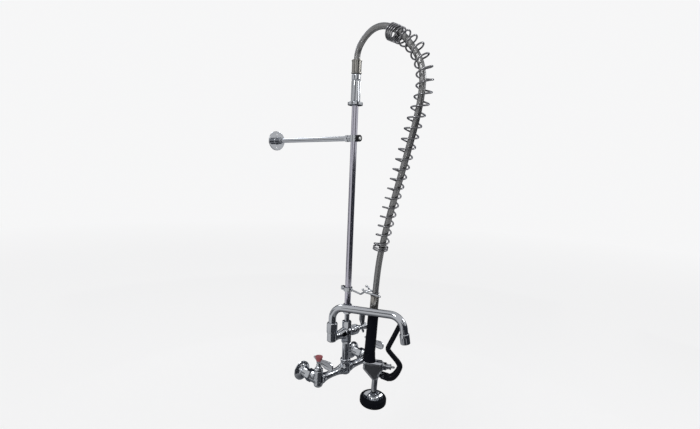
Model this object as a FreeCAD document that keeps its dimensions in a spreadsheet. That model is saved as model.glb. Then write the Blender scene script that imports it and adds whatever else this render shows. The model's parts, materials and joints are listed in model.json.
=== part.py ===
import FreeCAD, Part
import math
import os
from types import SimpleNamespace

import Sketcher

# Wall-mounted kitchen faucet with a tall riser, an add-on swing spout and a sprung spray handset.
# Origin: midway between the two inlets, on the wall plane. +Y goes into the wall, +Z is up.

SIZES = {
    # inlets on the wall
    "inlet_spacing": 203.2,
    "stand_off": 69.3,
    "flange_dia": 52.0,
    "flange_rim": 2.4,
    "flange_dome": 11.0,
    "flange_dome_radius": 16.0,
    "inlet_sleeve_dia": 27.0,
    "inlet_sleeve_length": 29.7,
    "inlet_thread_dia": 19.0,
    "inlet_thread_depth": 16.0,
    # unions: a nut that pulls a lip and a washer against a threaded tail
    "lip_thickness": 2.5,
    "lip_clearance": 0.9,
    "washer_thickness": 1.5,
    "thread_gap": 0.2,
    "seat_gap": 0.3,
    "edge_chamfer": 1.2,
    "coupling_flats": 30.0,
    "coupling_tail_dia": 24.0,
    "coupling_spigot_dia": 19.5,
    "coupling_grip": 5.5,
    "coupling_wall": 4.5,
    "inlet_bore": 14.0,
    # mixing body
    "end_block_flats": 26.5,
    "chamber_dia": 24.0,
    "chamber_top": 26.0,
    "chamber_depth": 24.5,
    "chamber_foot_dia": 9.0,
    "chamber_foot_radius": 11.0,
    "chamber_straight": 13.0,
    "chamber_bore": 17.0,
    "chamber_bore_depth": 15.0,
    "bonnet_thread_dia": 19.2,
    "bonnet_thread_depth": 11.0,
    "bar_dia": 17.5,
    "bar_flare_dia": 23.4,
    "bar_flare_start": 11.0,
    "bar_flare_end": 29.0,
    "bar_bore": 11.0,
    "centre_dia": 29.0,
    "centre_top": 28.0,
    "centre_depth": 19.5,
    "centre_foot_dia": 14.0,
    "centre_foot_radius": 12.0,
    "centre_waist_dia": 26.0,
    "centre_rim": 6.5,
    "centre_straight": 9.5,
    # lower nipple and its union
    "nipple_dia": 20.5,
    "nipple_top": 84.0,
    "nipple_thread_dia": 20.0,
    "nipple_bore": 13.0,
    "nipple_depth": 13.0,
    "union_flats": 24.0,
    "union_grip": 9.0,
    "union_wall": 9.0,
    "union_spigot_dia": 16.4,
    # add-on faucet body
    "addon_height": 104.0,
    "addon_hub_dia": 33.0,
    "addon_hub_base_dia": 25.0,
    "addon_hub_half": 7.5,
    "addon_hub_shoulder": 3.75,
    "addon_hub_round": 9.0,
    "addon_shoulder_dia": 23.0,
    "addon_shoulder": 118.2,
    "addon_boss_dia": 19.2,
    "addon_boss_top": 129.0,
    "addon_bore": 11.0,
    "addon_valve_x": 14.0,
    "addon_chamber_dia": 30.0,
    "addon_chamber_start": 19.0,
    "addon_well_floor": 3.0,
    "addon_arm_dia": 23.0,
    "horn_root_dia": 21.0,
    "horn_end_dia": 22.5,
    "horn_end_length": 11.5,
    "horn_root_reach": 19.0,
    "swivel_x": 57.0,
    "swivel_dia": 29.0,
    "swivel_bottom": 92.5,
    "swivel_foot_dia": 15.0,
    "swivel_foot_radius": 8.5,
    "swivel_foot_height": 7.0,
    "swivel_shoulder": 118.0,
    "swivel_thread_dia": 25.8,
    "swivel_thread_length": 12.0,
    "swivel_floor": 97.0,
    # top union of the add-on body and the riser
    "riser_nut_flats": 23.0,
    "riser_nut_wall": 4.0,
    "tail_dia": 13.6,
    "tail_bore": 9.0,
    "tail_top": 170.0,
    "riser_coupling_flats": 21.5,
    "riser_coupling_bottom": 160.0,
    "riser_coupling_height": 26.0,
    "riser_dia": 17.1,
    "riser_bore": 13.0,
    "riser_bottom": 172.0,
    "riser_length": 573.0,
    # riser head
    "collar_dia": 40.0,
    "collar_plate": 8.0,
    "collar_hub_dia": 21.0,
    "collar_below_top": 18.0,
    "collar_height": 10.0,
    "sleeve_flats": 23.0,
    "sleeve_above_riser": 46.0,
    "sleeve_spigot_dia": 17.0,
    "sleeve_spigot_length": 10.5,
    "sleeve_bore": 11.0,
    "hose_nut_dia": 24.0,
    "hose_nut_end_dia": 20.5,
    "hose_nut_wall": 3.0,
    "hose_nut_shoulder": 4.5,
    "hose_nut_round": 5.5,
    "hose_stem_dia": 12.0,
    "upper_ferrule_dia": 27.2,
    "upper_ferrule_length": 35.7,
    "ferrule_rim": 3.0,
    "ferrule_waist": 0.8,
    "ferrule_bore": 9.0,
    "crimp_radius": 4.0,
    "crimp_depth": 0.7,
    # hose and the spring round it
    "hose_dia": 16.0,
    "hose_bore": 10.0,
    "spring_wire": 4.2,
    "spring_top_dia": 43.0,
    "spring_end_dia": 39.5,
    "spring_from": 153.0,
    "spring_to": 753.6,
    "spring_closed_pitch": 6.8,
    "spring_open_pitch": 26.2,
    "spring_foot_pitch": 24.0,
    "spring_tail_pitch": 5.5,
    "spring_rest_gap": 0.3,
    # hose hook on the riser; levels are above the foot of its clamp
    "hook_above_coupling": 37.0,
    "hook_clamp_dia": 24.0,
    "hook_clamp_height": 11.0,
    "hook_ear_reach": 24.0,
    "hook_ear_width": 9.0,
    "hook_ear_slit": 1.6,
    "hook_slit_start": 4.3,
    "hook_screw_dia": 4.0,
    "hook_screw_head_dia": 7.5,
    "hook_screw_head": 2.5,
    "hook_rod_dia": 5.0,
    "hook_prong_half": 11.3,
    "hook_prong_level": 15.5,
    "hook_fork_reach": 66.0,
    "hook_bridge_reach": 71.0,
    "hook_low_reach": 48.0,
    "hook_low_level": 2.0,
    "hook_root_level": 6.0,
    "hook_bend": 9.0,
    "hook_ball_dia": 6.5,
    "hook_left_horn_reach": 65.0,
    "hook_left_horn_level": 20.5,
    "hook_left_foot_reach": 74.0,
    "hook_left_end": 124.0,
    "hook_right_horn_reach": 57.0,
    "hook_right_horn_level": 24.0,
    "hook_right_top_reach": 65.0,
    "hook_right_top_level": 23.5,
    "hook_right_end": 100.0,
    "hook_right_bend": 3.5,
    # valve spindles, bonnets, levers and colour indexes
    "stem_dia": 9.0,
    "stem_disc_dia": 15.6,
    "stem_disc_rise": 4.0,
    "stem_disc_height": 6.0,
    "stem_gap": 0.06,
    "bonnet_flats": 21.5,
    "bonnet_hex_top": 37.0,
    "bonnet_neck_dia": 17.0,
    "bonnet_tip_dia": 12.0,
    "bonnet_top": 46.0,
    "hub_dia": 13.5,
    "hub_waist_dia": 12.0,
    "hub_top": 52.0,
    "hub_bore_depth": 4.0,
    "index_foot_dia": 14.0,
    "index_dia": 20.0,
    "index_top": 64.0,
    "index_rim": 2.0,
    "index_dish": 1.2,
    "lever_reach": 54.0,
    "lever_thickness": 4.6,
    "lever_tip_radius": 12.0,
    "lever_centre": 50.5,
    "lever_root_bottom": 46.8,
    "lever_root_top": 59.0,
    "lever_heel": 24.0,
    "tail_reach": 19.5,
    "tail_tip": 57.0,
    "tail_half": 3.0,
    # swing spout
    "spout_dia": 20.0,
    "spout_bore": 16.0,
    "spout_height": 189.5,
    "spout_swing": 15.0,
    "spout_rise": 4.2,
    "spout_straight": 168.0,
    "spout_rise_bend": 34.0,
    "spout_drop_bend": 35.0,
    "spout_drop": 22.2,
    "spout_lean": 10.0,
    "spout_insert": 98.0,
    "spout_running_gap": 0.08,
    "spout_collar_dia": 24.8,
    "spout_collar_height": 3.4,
    "spout_nut_flats": 29.0,
    "spout_nut_top": 146.0,
    "ring_wire": 1.2,
    "ring_gap": 0.02,
    "ring_groove": 1.4,
    "ring_step": 9.0,
    "aerator_dia": 24.6,
    "aerator_length": 25.0,
    "aerator_socket": 10.0,
    "aerator_bore": 18.4,
    "aerator_flute": 3.0,
    "aerator_flute_depth": 0.8,
    "aerator_collar": 7.0,
    "insert_thickness": 6.0,
    "insert_hole_dia": 2.6,
    # wall bracket
    "bracket_below_collar": 85.4,
    "bracket_reach": 345.0,
    "bracket_collar_dia": 22.0,
    "bracket_collar_height": 17.0,
    "bracket_collar_gap": 0.07,
    "socket_dia": 16.0,
    "socket_length": 19.0,
    "bracket_nut_flats": 17.5,
    "bracket_nut_length": 9.0,
    "arm_dia": 13.8,
    "arm_bore": 10.0,
    "arm_start": 13.0,
    "wall_boss_dia": 21.0,
    "wall_boss_length": 32.0,
    "wall_flange_dia": 61.4,
    "wall_flange_thickness": 3.0,
    "wall_screw_spacing": 42.0,
    "wall_screw_hole": 5.0,
    "arm_insert": 20.0,
    "knob_dia": 18.0,
    "knob_length": 10.0,
    "knob_start": 12.0,
    "knob_flute": 2.4,
    "knob_flute_depth": 0.7,
    "knob_screw_dia": 6.0,
    "knob_cap_dia": 9.0,
    "knob_cap": 1.2,
    # spray handset: distances forward of the grip's axis and along it from its foot
    "handset_reach": 87.0,
    "handset_level": 53.0,
    "handset_tilt": 3.58,
    "handset_turn": 38.0,
    "tube_dia": 14.0,
    "grip_dia": 24.4,
    "grip_top_dia": 23.4,
    "grip_top": 132.0,
    "grip_round": 2.5,
    "skirt_dia": 29.6,
    "skirt_top_dia": 25.6,
    "skirt_height": 23.0,
    "skirt_foot": 5.8,
    "lower_ferrule_dia": 24.0,
    "lower_ferrule_bottom": 137.0,
    "lower_ferrule_length": 44.4,
    "valve_back": 14.0,
    "valve_front": 36.0,
    "valve_nose": 39.5,
    "valve_nose_depth": 20.0,
    "valve_cheek": 31.0,
    "valve_cheek_depth": 36.0,
    "valve_foot": 50.0,
    "valve_foot_half": 7.6,
    "valve_back_depth": 22.0,
    "valve_thickness": 26.0,
    "valve_round": 5.0,
    "barrel_level": 12.0,
    "barrel_dia": 22.0,
    "barrel_end": 40.0,
    "barrel_bore": 17.0,
    "barrel_back": 12.0,
    "cap_hex_flats": 20.0,
    "cap_hex_length": 8.0,
    "cap_end": 61.0,
    "cap_dia": 15.4,
    "cap_waist_dia": 13.0,
    "cap_ring": 3.0,
    "plunger_dia": 6.0,
    "plunger_tip": 70.5,
    "plunger_disc_dia": 15.6,
    "plunger_disc_from": 36.7,
    "plunger_disc": 3.0,
    "plunger_gap": 0.08,
    "return_wire": 1.2,
    "return_dia": 11.0,
    "stem_forward": 21.0,
    "spray_stem_dia": 15.5,
    "spray_stem_bore": 9.0,
    "spray_stem_end": 93.0,
    "spray_spigot_dia": 12.4,
    "spray_spigot": 7.0,
    # spray head, depths below the grip's foot
    "cup_boss_dia": 19.0,
    "cup_boss_end": 97.0,
    "cup_dish_dia": 34.0,
    "cup_dish_depth": 105.5,
    "cup_dish_radius": 9.0,
    "cup_rim_dia": 55.0,
    "cup_rim_level": 100.5,
    "cup_rim_wall": 1.6,
    "cup_skirt_end": 116.0,
    "cup_wall": 2.6,
    "bumper_dia": 72.0,
    "bumper_top": 99.0,
    "bumper_bottom": 123.5,
    "bumper_round": 8.5,
    "bumper_lip": 3.6,
    "bumper_fit": 0.2,
    "plate_thickness": 2.0,
    "plate_face": 2.6,
    "spray_hole_dia": 2.4,
    # trigger
    "pivot_forward": 41.0,
    "pivot_depth": 38.6,
    "pivot_dia": 5.0,
    "pivot_gap": 0.05,
    "pivot_head_dia": 8.6,
    "pivot_head": 2.4,
    "lug_half": 3.7,
    "lug_radius": 6.0,
    "eye_radius": 8.5,
    "eye_half": 7.6,
    "eye_slot_half": 4.1,
    "trigger_dia": 13.6,
    "foot_forward": 58.0,
    "foot_depth": 40.2,
    "foot_radius": 12.0,
    "foot_round": 4.0,
    "trigger_bend": 14.0,
    "trigger_heel_forward": 60.0,
    "trigger_heel_depth": 45.0,
    "trigger_elbow_forward": 84.0,
    "trigger_elbow_depth": 4.0,
    "trigger_knee_forward": 46.5,
    "trigger_knee_rise": 38.0,
    "trigger_end_forward": 71.5,
    "trigger_end_rise": 106.0,
    # shared allowances
    "cut_overrun": 1.0,
}

# Shares of other sizes, and counts of what repeats.
HEX_CORNER_SHARE = 1 / math.sqrt(3)
OCTAGON_CORNER_SHARE = 1 / (2 * math.cos(math.pi / 8))
CRIMP_COUNT = 8
AERATOR_FLUTE_COUNT = 12
KNOB_FLUTE_COUNT = 16
INSERT_HOLE_COUNT = 6
INSERT_RING_SHARE = 0.62
SPRAY_HOLE_COUNTS = (6, 12)
SPRAY_RING_SHARES = (0.38, 0.76)
SPRING_CLOSED_TURNS = 4
SPRING_OPENING_TURNS = 2
SPRING_TAIL_TURNS = 2
# Which side of the hose the spring leans on: 1 hangs inside the arch, -1 is pressed outward.
# Each pair is a share of the spring's length and a share of the room between wire and hose.
SPRING_LEAN = [(0, 1.0), (0.17, -0.65), (0.31, -0.70), (0.48, 0.50), (0.62, 0.68), (1, 0.58)]
RETURN_TURNS = 6
HEADING_STEP_SHARE = 1 / 720
GAP_SAMPLES = 7

# The hose's route in the plane of the riser: how far toward the room from the riser, and its height.
# The heights are as laid between the two ferrules ROUTE_FOOT and ROUTE_TOP; they stretch with the riser.
HOSE_ROUTE = [
    (0, 856), (6.2, 875.5), (18.5, 891), (33.5, 903.5), (53.5, 913.2), (77, 915.7), (102.5, 910),
    (128, 896.8), (152, 877), (174, 852.7), (193.8, 827), (207.4, 798.8), (211.8, 765.2), (208.5, 724.6),
    (198.5, 676.4), (183.6, 621), (165.7, 559.7), (146.6, 494.3), (128, 427.3), (112.5, 361),
]
ROUTE_TOP = 844.5
ROUTE_FOOT = 234.35
HOSE_LAST_RUN = 62.0
ROUTE_BEND_SHARE = 0.45
ROUTE_END_SHARE = 0.95

doc = FreeCAD.newDocument("kitchen_faucet")
sheet = doc.addObject("Spreadsheet::Sheet", "Sizes")
for row, (alias, number) in enumerate(SIZES.items(), 1):
    sheet.set(f"A{row}", alias)
    sheet.set(f"B{row}", str(number))
    sheet.setAlias(f"B{row}", alias)
doc.recompute()


class Size:
    """A number worked out from the sheet, together with the expression that says how."""

    def __init__(self, value, text):
        self.value = float(value)
        self.text = text

    def __add__(self, other):
        other = as_size(other)
        return Size(self.value + other.value, f"({self.text} + {other.text})")

    def __sub__(self, other):
        other = as_size(other)
        return Size(self.value - other.value, f"({self.text} - {other.text})")

    def __rsub__(self, other):
        return as_size(other) - self

    def __mul__(self, other):
        other = as_size(other)
        return Size(self.value * other.value, f"({self.text} * {other.text})")

    def __truediv__(self, other):
        other = as_size(other)
        return Size(self.value / other.value, f"({self.text} / {other.text})")

    def __neg__(self):
        return Size(-self.value, f"(-1 * {self.text})")

    __radd__ = __add__
    __rmul__ = __mul__


def as_size(item):
    return item if isinstance(item, Size) else Size(item, repr(float(item)))


s = SimpleNamespace(**{alias: Size(sheet.get(alias), f"Sizes.{alias}") for alias in SIZES})
ZERO = Size(0, "0")

# Heights that follow the riser's pipe and its coupling.
riser_top = s.riser_bottom + s.riser_length
ring_level = riser_top - s.collar_below_top
sleeve_top = riser_top + s.sleeve_above_riser
bracket_level = ring_level - s.bracket_below_collar
hook_level = s.riser_coupling_bottom + s.riser_coupling_height + s.hook_above_coupling

X_AXIS = FreeCAD.Vector(1, 0, 0)
Y_AXIS = FreeCAD.Vector(0, 1, 0)
Z_AXIS = FreeCAD.Vector(0, 0, 1)
UPRIGHT = FreeCAD.Rotation()
ALONG_X = FreeCAD.Rotation(Y_AXIS, 90)
TO_WALL = FreeCAD.Rotation(X_AXIS, -90)
TO_ROOM = FreeCAD.Rotation(X_AXIS, 90)
WORLD = FreeCAD.Placement()

parts = {}


def keep(node, shape_object):
    """Names a finished sub-part: its Label is the name of its file."""
    shape_object.Label = node
    parts[node] = shape_object
    return shape_object


def place(shape_object, x=ZERO, y=ZERO, z=ZERO, rotation=UPRIGHT, frame=WORLD):
    """Puts an object at a place given in a frame; places in the world stay bound to the sheet."""
    local = FreeCAD.Placement(FreeCAD.Vector(x.value, y.value, z.value), rotation)
    shape_object.Placement = frame.multiply(local)
    if frame is WORLD:
        for axis, distance in (("x", x), ("y", y), ("z", z)):
            if distance is not ZERO:
                shape_object.setExpression(f"Placement.Base.{axis}", distance.text)
    return shape_object


def arc_centre(start, end, radius, turn):
    """Centre of the arc from start to end; turn is 1 for anticlockwise and -1 for clockwise."""
    chord = end - start
    half = chord.Length / 2
    rise = math.sqrt(max(radius * radius - half * half, 0))
    left = FreeCAD.Vector(-chord.y, chord.x, 0) / chord.Length
    return start + chord / 2 + left * (rise * turn)


def draw(sketch, corners, closed=True):
    """Draws lines and arcs through the corners and ties each corner to the sheet.

    A corner is (x, y), reached by a line, or (x, y, radius, turn), reached by an arc.
    """
    places = [FreeCAD.Vector(corner[0].value, corner[1].value, 0) for corner in corners]
    first = 0 if closed else 1
    ends = {}
    for index in range(first, len(corners)):
        start, end = places[index - 1], places[index]
        corner = corners[index]
        if len(corner) == 2:
            edge = sketch.addGeometry(Part.LineSegment(start, end), False)
            ends[index] = (edge, 1, 2)
            continue
        radius, turn = corner[2], corner[3]
        centre = arc_centre(start, end, radius.value, turn)
        low, high = (start, end) if turn > 0 else (end, start)
        angles = [math.atan2(point.y - centre.y, point.x - centre.x) for point in (low, high)]
        if angles[1] < angles[0]:
            angles[1] += 2 * math.pi
        circle = Part.Circle(centre, Z_AXIS, (start - centre).Length)
        edge = sketch.addGeometry(Part.ArcOfCircle(circle, angles[0], angles[1]), False)
        ends[index] = (edge, 1, 2) if turn > 0 else (edge, 2, 1)
        tie(sketch, Sketcher.Constraint("Radius", edge, radius.value), f"radius{index}", radius)
    for index in range(first, len(corners)):
        edge, _, last = ends[index]
        follower = ends.get((index + 1) % len(corners))
        if follower and (closed or index + 1 < len(corners)):
            sketch.addConstraint(Sketcher.Constraint("Coincident", edge, last, follower[0], follower[1]))
        hold(sketch, edge, last, corners[index], str(index))
    if not closed:
        hold(sketch, ends[1][0], ends[1][1], corners[0], "start")


def hold(sketch, edge, point, corner, label):
    """Holds one point of a sketch at its two distances from the sketch's origin."""
    for kind, distance, axis in (("DistanceX", corner[0], -2), ("DistanceY", corner[1], -1)):
        if distance is ZERO:
            sketch.addConstraint(Sketcher.Constraint("PointOnObject", edge, point, axis))
        else:
            rule = Sketcher.Constraint(kind, -1, 1, edge, point, distance.value)
            tie(sketch, rule, kind + label, distance)


def tie(sketch, constraint, label, size):
    index = sketch.addConstraint(constraint)
    sketch.renameConstraint(index, label)
    sketch.setExpression(f"Constraints.{label}", size.text)


def new_sketch(body, name, role, level=ZERO):
    """A sketch on one of the body's own origin planes, raised by level along the plane's normal."""
    sketch = body.newObject("Sketcher::SketchObject", name)
    plane = next(item for item in body.Origin.OriginFeatures if item.Role == role)
    sketch.AttachmentSupport = [(plane, "")]
    sketch.MapMode = "FlatFace"
    if level is not ZERO:
        sketch.AttachmentOffset = FreeCAD.Placement(Z_AXIS * level.value, UPRIGHT)
        sketch.setExpression("AttachmentOffset.Base.z", level.text)
    return sketch


def new_body(name):
    return doc.addObject("PartDesign::Body", name)


def turned(name, corners):
    """A lathe-turned piece about its own Z axis; corners are (radius, height)."""
    body = new_body(name)
    sketch = new_sketch(body, name + "_profile", "XZ_Plane")
    draw(sketch, corners)
    turning = body.newObject("PartDesign::Revolution", name + "_turning")
    turning.Profile = sketch
    turning.ReferenceAxis = (sketch, ["V_Axis"])
    return body


def slab(name, role, corners, thickness):
    """A flat piece with the given outline, its thickness centred on the origin plane."""
    body = new_body(name)
    sketch = new_sketch(body, name + "_outline", role)
    draw(sketch, corners)
    pad = body.newObject("PartDesign::Pad", name + "_pad")
    pad.Profile = sketch
    pad.SideType = "Symmetric"
    pad.setExpression("Length", thickness.text)
    return body


def ring_of_cuts(body, name, count, cutter_radius, centre_radius, bottom, depth):
    """Cuts one round groove or hole along Z and repeats it about the axis."""
    sketch = new_sketch(body, name + "_circle", "XY_Plane", bottom)
    centre = FreeCAD.Vector(centre_radius.value, 0, 0)
    circle = sketch.addGeometry(Part.Circle(centre, Z_AXIS, cutter_radius.value), False)
    tie(sketch, Sketcher.Constraint("Radius", circle, cutter_radius.value), "cutter", cutter_radius)
    hold(sketch, circle, 3, (centre_radius, ZERO), "Centre")
    pocket = body.newObject("PartDesign::Pocket", name + "_pocket")
    pocket.Profile = sketch
    pocket.Reversed = True
    pocket.setExpression("Length", depth.text)
    pattern = body.newObject("PartDesign::PolarPattern", name + "_pattern")
    pattern.Originals = [pocket]
    pattern.Axis = (sketch, ["N_Axis"])
    pattern.Angle = 360
    pattern.Occurrences = count
    body.Tip = pattern
    return body


def rod(name, diameter, length):
    """A plain cylinder standing on its own origin."""
    cylinder = doc.addObject("Part::Cylinder", name)
    cylinder.setExpression("Radius", (diameter / 2).text)
    cylinder.setExpression("Height", length.text)
    return cylinder


def ball(name, diameter):
    sphere = doc.addObject("Part::Sphere", name)
    sphere.setExpression("Radius", (diameter / 2).text)
    return sphere


def block(name, length, width, height):
    """A box centred on its own Z axis and standing on its origin; it is placed by its corner."""
    box = doc.addObject("Part::Box", name)
    for side, size in (("Length", length), ("Width", width), ("Height", height)):
        box.setExpression(side, size.text)
    return box


def prism(name, sides, corner_radius, height):
    shape = doc.addObject("Part::Prism", name)
    shape.Polygon = sides
    shape.setExpression("Circumradius", corner_radius.text)
    shape.setExpression("Height", height.text)
    return shape


def fuse(name, *pieces):
    joined = doc.addObject("Part::MultiFuse", name)
    joined.Shapes = list(pieces)
    return joined


def cut(name, base, *tools):
    result = doc.addObject("Part::Cut", name)
    result.Base = base
    result.Tool = tools[0] if len(tools) == 1 else fuse(name + "_tools", *tools)
    return result


def common(name, first, second):
    result = doc.addObject("Part::Common", name)
    result.Base = first
    result.Tool = second
    return result


def group(name, *pieces):
    """Separate solids that share one node."""
    compound = doc.addObject("Part::Compound", name)
    compound.Links = list(pieces)
    return compound


def hexagon(name, flats, bottom, height, inner):
    """A hexagonal piece with chamfered corners; inner lists its bore's corners from the bottom up."""
    corner = flats * HEX_CORNER_SHARE
    top = bottom + height
    blank = turned(name + "_blank", [
        *inner,
        (corner - s.edge_chamfer, top),
        (corner, top - s.edge_chamfer * HEX_CORNER_SHARE),
        (corner, bottom + s.edge_chamfer * HEX_CORNER_SHARE),
        (corner - s.edge_chamfer, bottom),
    ])
    bar = place(prism(name + "_bar", 6, corner, height), z=bottom)
    return common(name, blank, bar)


def union_steps(thread_dia, spigot_dia, grip, wall):
    """Bore of a union nut, measured from the face of the threaded tail that it is screwed to."""
    cavity = thread_dia / 2 + s.thread_gap
    throat = spigot_dia / 2 + s.seat_gap
    lip_top = s.washer_thickness + s.lip_thickness
    return -grip, lip_top + wall, [
        (cavity, -grip), (cavity, lip_top), (throat, lip_top), (throat, lip_top + wall),
    ]


def washer(name, thread_dia, bore, face):
    """A flat washer that lies on a threaded tail's face."""
    outer = thread_dia / 2 - s.lip_clearance / 2
    top = face + s.washer_thickness
    return turned(name, [(bore / 2, face), (outer, face), (outer, top), (bore / 2, top)])


# Frames of the sub-assemblies. A valve's axis is Z and its lever points along -Y.
ADDON_TURN = FreeCAD.Rotation(-Y_AXIS, -Z_AXIS, X_AXIS, "XYZ")
VALVES = {
    "hot": FreeCAD.Placement(FreeCAD.Vector(-s.inlet_spacing.value / 2, -s.stand_off.value, 0), UPRIGHT),
    "cold": FreeCAD.Placement(FreeCAD.Vector(s.inlet_spacing.value / 2, -s.stand_off.value, 0), UPRIGHT),
    "addon": FreeCAD.Placement(
        FreeCAD.Vector(s.addon_valve_x.value, -s.stand_off.value, s.addon_height.value), ADDON_TURN),
}
# Floor of each valve's well, in the valve's own frame.
WELL_FLOORS = {"hot": -s.chamber_bore_depth, "cold": -s.chamber_bore_depth, "addon": s.addon_well_floor}
# In the spout's and the handset's frames X points forward and Z is up along the piece.
FORWARD = FreeCAD.Rotation(Z_AXIS, -90)
SPOUT = FreeCAD.Placement(
    FreeCAD.Vector(-s.swivel_x.value, -s.stand_off.value, 0),
    FreeCAD.Rotation(Z_AXIS, s.spout_swing.value).multiply(FORWARD))
HANDSET = FreeCAD.Placement(
    FreeCAD.Vector(0, -s.stand_off.value - s.handset_reach.value, s.handset_level.value),
    FreeCAD.Rotation(X_AXIS, s.handset_tilt.value).multiply(
        FreeCAD.Rotation(Z_AXIS, s.handset_turn.value - 90)))

inlet_lip_end = s.inlet_sleeve_length + s.seat_gap + s.coupling_wall + s.lip_thickness
inlet_union_face = inlet_lip_end + s.washer_thickness


def inlets():
    """Wall flange with its threaded sleeve, coupling nut and washer, for each supply."""
    sleeve = s.inlet_sleeve_dia / 2
    spigot = s.coupling_spigot_dia / 2
    lip = s.coupling_tail_dia / 2 - s.lip_clearance / 2
    end = inlet_lip_end
    thread = s.inlet_thread_dia / 2
    bore = s.inlet_bore / 2
    nut_bottom, nut_top, steps = union_steps(
        s.coupling_tail_dia, s.coupling_spigot_dia, s.coupling_grip, s.coupling_wall)
    made = {"flange": [], "nut": [], "washer": []}
    for side, sign in (("hot", -1), ("cold", 1)):
        flange = turned(f"{side}_flange_turning", [
            (thread, ZERO), (s.flange_dia / 2, ZERO), (s.flange_dia / 2, s.flange_rim),
            (sleeve, s.flange_dome, s.flange_dome_radius, -1),
            (sleeve, s.inlet_sleeve_length - s.edge_chamfer),
            (sleeve - s.edge_chamfer, s.inlet_sleeve_length), (spigot, s.inlet_sleeve_length),
            (spigot, end - s.lip_thickness), (lip, end - s.lip_thickness), (lip, end), (bore, end),
            (bore, s.inlet_thread_depth), (thread, s.inlet_thread_depth),
        ])
        place(flange, x=s.inlet_spacing / 2 * sign, rotation=TO_ROOM)
        made["flange"].append(flange)
        nut = hexagon(f"{side}_coupling_nut", s.coupling_flats, nut_bottom, nut_top - nut_bottom, steps)
        place(nut, x=s.inlet_spacing / 2 * sign, y=-inlet_union_face, rotation=TO_WALL)
        made["nut"].append(nut)
        ring = washer(f"{side}_inlet_washer", s.coupling_tail_dia, s.inlet_bore, ZERO)
        place(ring, x=s.inlet_spacing / 2 * sign, y=-inlet_union_face, rotation=TO_WALL)
        made["washer"].append(ring)
    keep("hot_inlet_flange", made["flange"][0])
    keep("cold_inlet_flange", made["flange"][1])
    keep("coupling_nuts", group("coupling_nut_pair", *made["nut"]))
    keep("inlet_washers", group("inlet_washer_pair", *made["washer"]))


def valve_well(side):
    """What is bored out of a chamber for its spindle and bonnet."""
    floor = WELL_FLOORS[side]
    thread_bottom = s.chamber_top - s.bonnet_thread_depth
    mouth = s.chamber_top + s.cut_overrun
    well = turned(f"{side}_well", [
        (ZERO, floor), (s.chamber_bore / 2, floor), (s.chamber_bore / 2, thread_bottom),
        (s.bonnet_thread_dia / 2, thread_bottom), (s.bonnet_thread_dia / 2, mouth), (ZERO, mouth),
    ])
    return place(well, frame=VALVES[side])


def mixing_body():
    """One casting: two valve chambers, the bar between them and the riser's outlet."""
    pieces = []
    bores = []
    chamber = s.chamber_dia / 2
    tail_root = inlet_union_face + s.coupling_grip + s.seat_gap
    for side, sign in (("hot", -1), ("cold", 1)):
        shell = turned(f"{side}_chamber", [
            (ZERO, -s.chamber_depth), (s.chamber_foot_dia / 2, -s.chamber_depth),
            (chamber, -s.chamber_straight, s.chamber_foot_radius, 1),
            (chamber, s.chamber_top - s.edge_chamfer), (chamber - s.edge_chamfer, s.chamber_top),
            (ZERO, s.chamber_top),
        ])
        pieces.append(place(shell, frame=VALVES[side]))
        corner = s.end_block_flats * OCTAGON_CORNER_SHARE
        inlet = prism(f"{side}_end_block", 8, corner, s.stand_off - tail_root)
        at_inlet = {"x": s.inlet_spacing / 2 * sign, "y": -s.stand_off, "rotation": TO_WALL}
        pieces.append(place(inlet, **at_inlet))
        tail = rod(f"{side}_tail", s.coupling_tail_dia, s.stand_off - inlet_union_face)
        pieces.append(place(tail, **at_inlet))
        waterway = rod(f"{side}_waterway", s.inlet_bore, s.stand_off - inlet_union_face + s.cut_overrun)
        bores.append(place(waterway, **at_inlet))
        bores.append(valve_well(side))
    half = s.inlet_spacing / 2
    bar = turned("bar", [
        (ZERO, -half), (s.bar_flare_dia / 2, -half), (s.bar_flare_dia / 2, s.bar_flare_start - half),
        (s.bar_dia / 2, s.bar_flare_end - half), (s.bar_dia / 2, half - s.bar_flare_end),
        (s.bar_flare_dia / 2, half - s.bar_flare_start), (s.bar_flare_dia / 2, half), (ZERO, half),
    ])
    pieces.append(place(bar, y=-s.stand_off, rotation=ALONG_X))
    centre = s.centre_dia / 2
    outlet = turned("outlet", [
        (ZERO, -s.centre_depth), (s.centre_foot_dia / 2, -s.centre_depth),
        (centre, -s.centre_straight, s.centre_foot_radius, 1),
        (centre, s.centre_straight), (s.centre_waist_dia / 2, s.centre_top - s.centre_rim * 2),
        (s.centre_waist_dia / 2, s.centre_top - s.centre_rim - s.edge_chamfer),
        (centre, s.centre_top - s.centre_rim), (centre, s.centre_top - s.edge_chamfer),
        (centre - s.edge_chamfer, s.centre_top), (ZERO, s.centre_top),
    ])
    pieces.append(place(outlet, y=-s.stand_off))
    passage = rod("bar_waterway", s.bar_bore, s.inlet_spacing)
    bores.append(place(passage, x=-half, y=-s.stand_off, rotation=ALONG_X))
    socket = rod("outlet_socket", s.nipple_dia + s.thread_gap, s.centre_top - s.nipple_depth + s.cut_overrun)
    bores.append(place(socket, y=-s.stand_off, z=s.nipple_depth))
    neck = rod("outlet_waterway", s.nipple_bore, s.nipple_depth + s.cut_overrun)
    bores.append(place(neck, y=-s.stand_off))
    keep("mixing_body", cut("mixing_body_casting", fuse("mixing_body_solid", *pieces), *bores))


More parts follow.
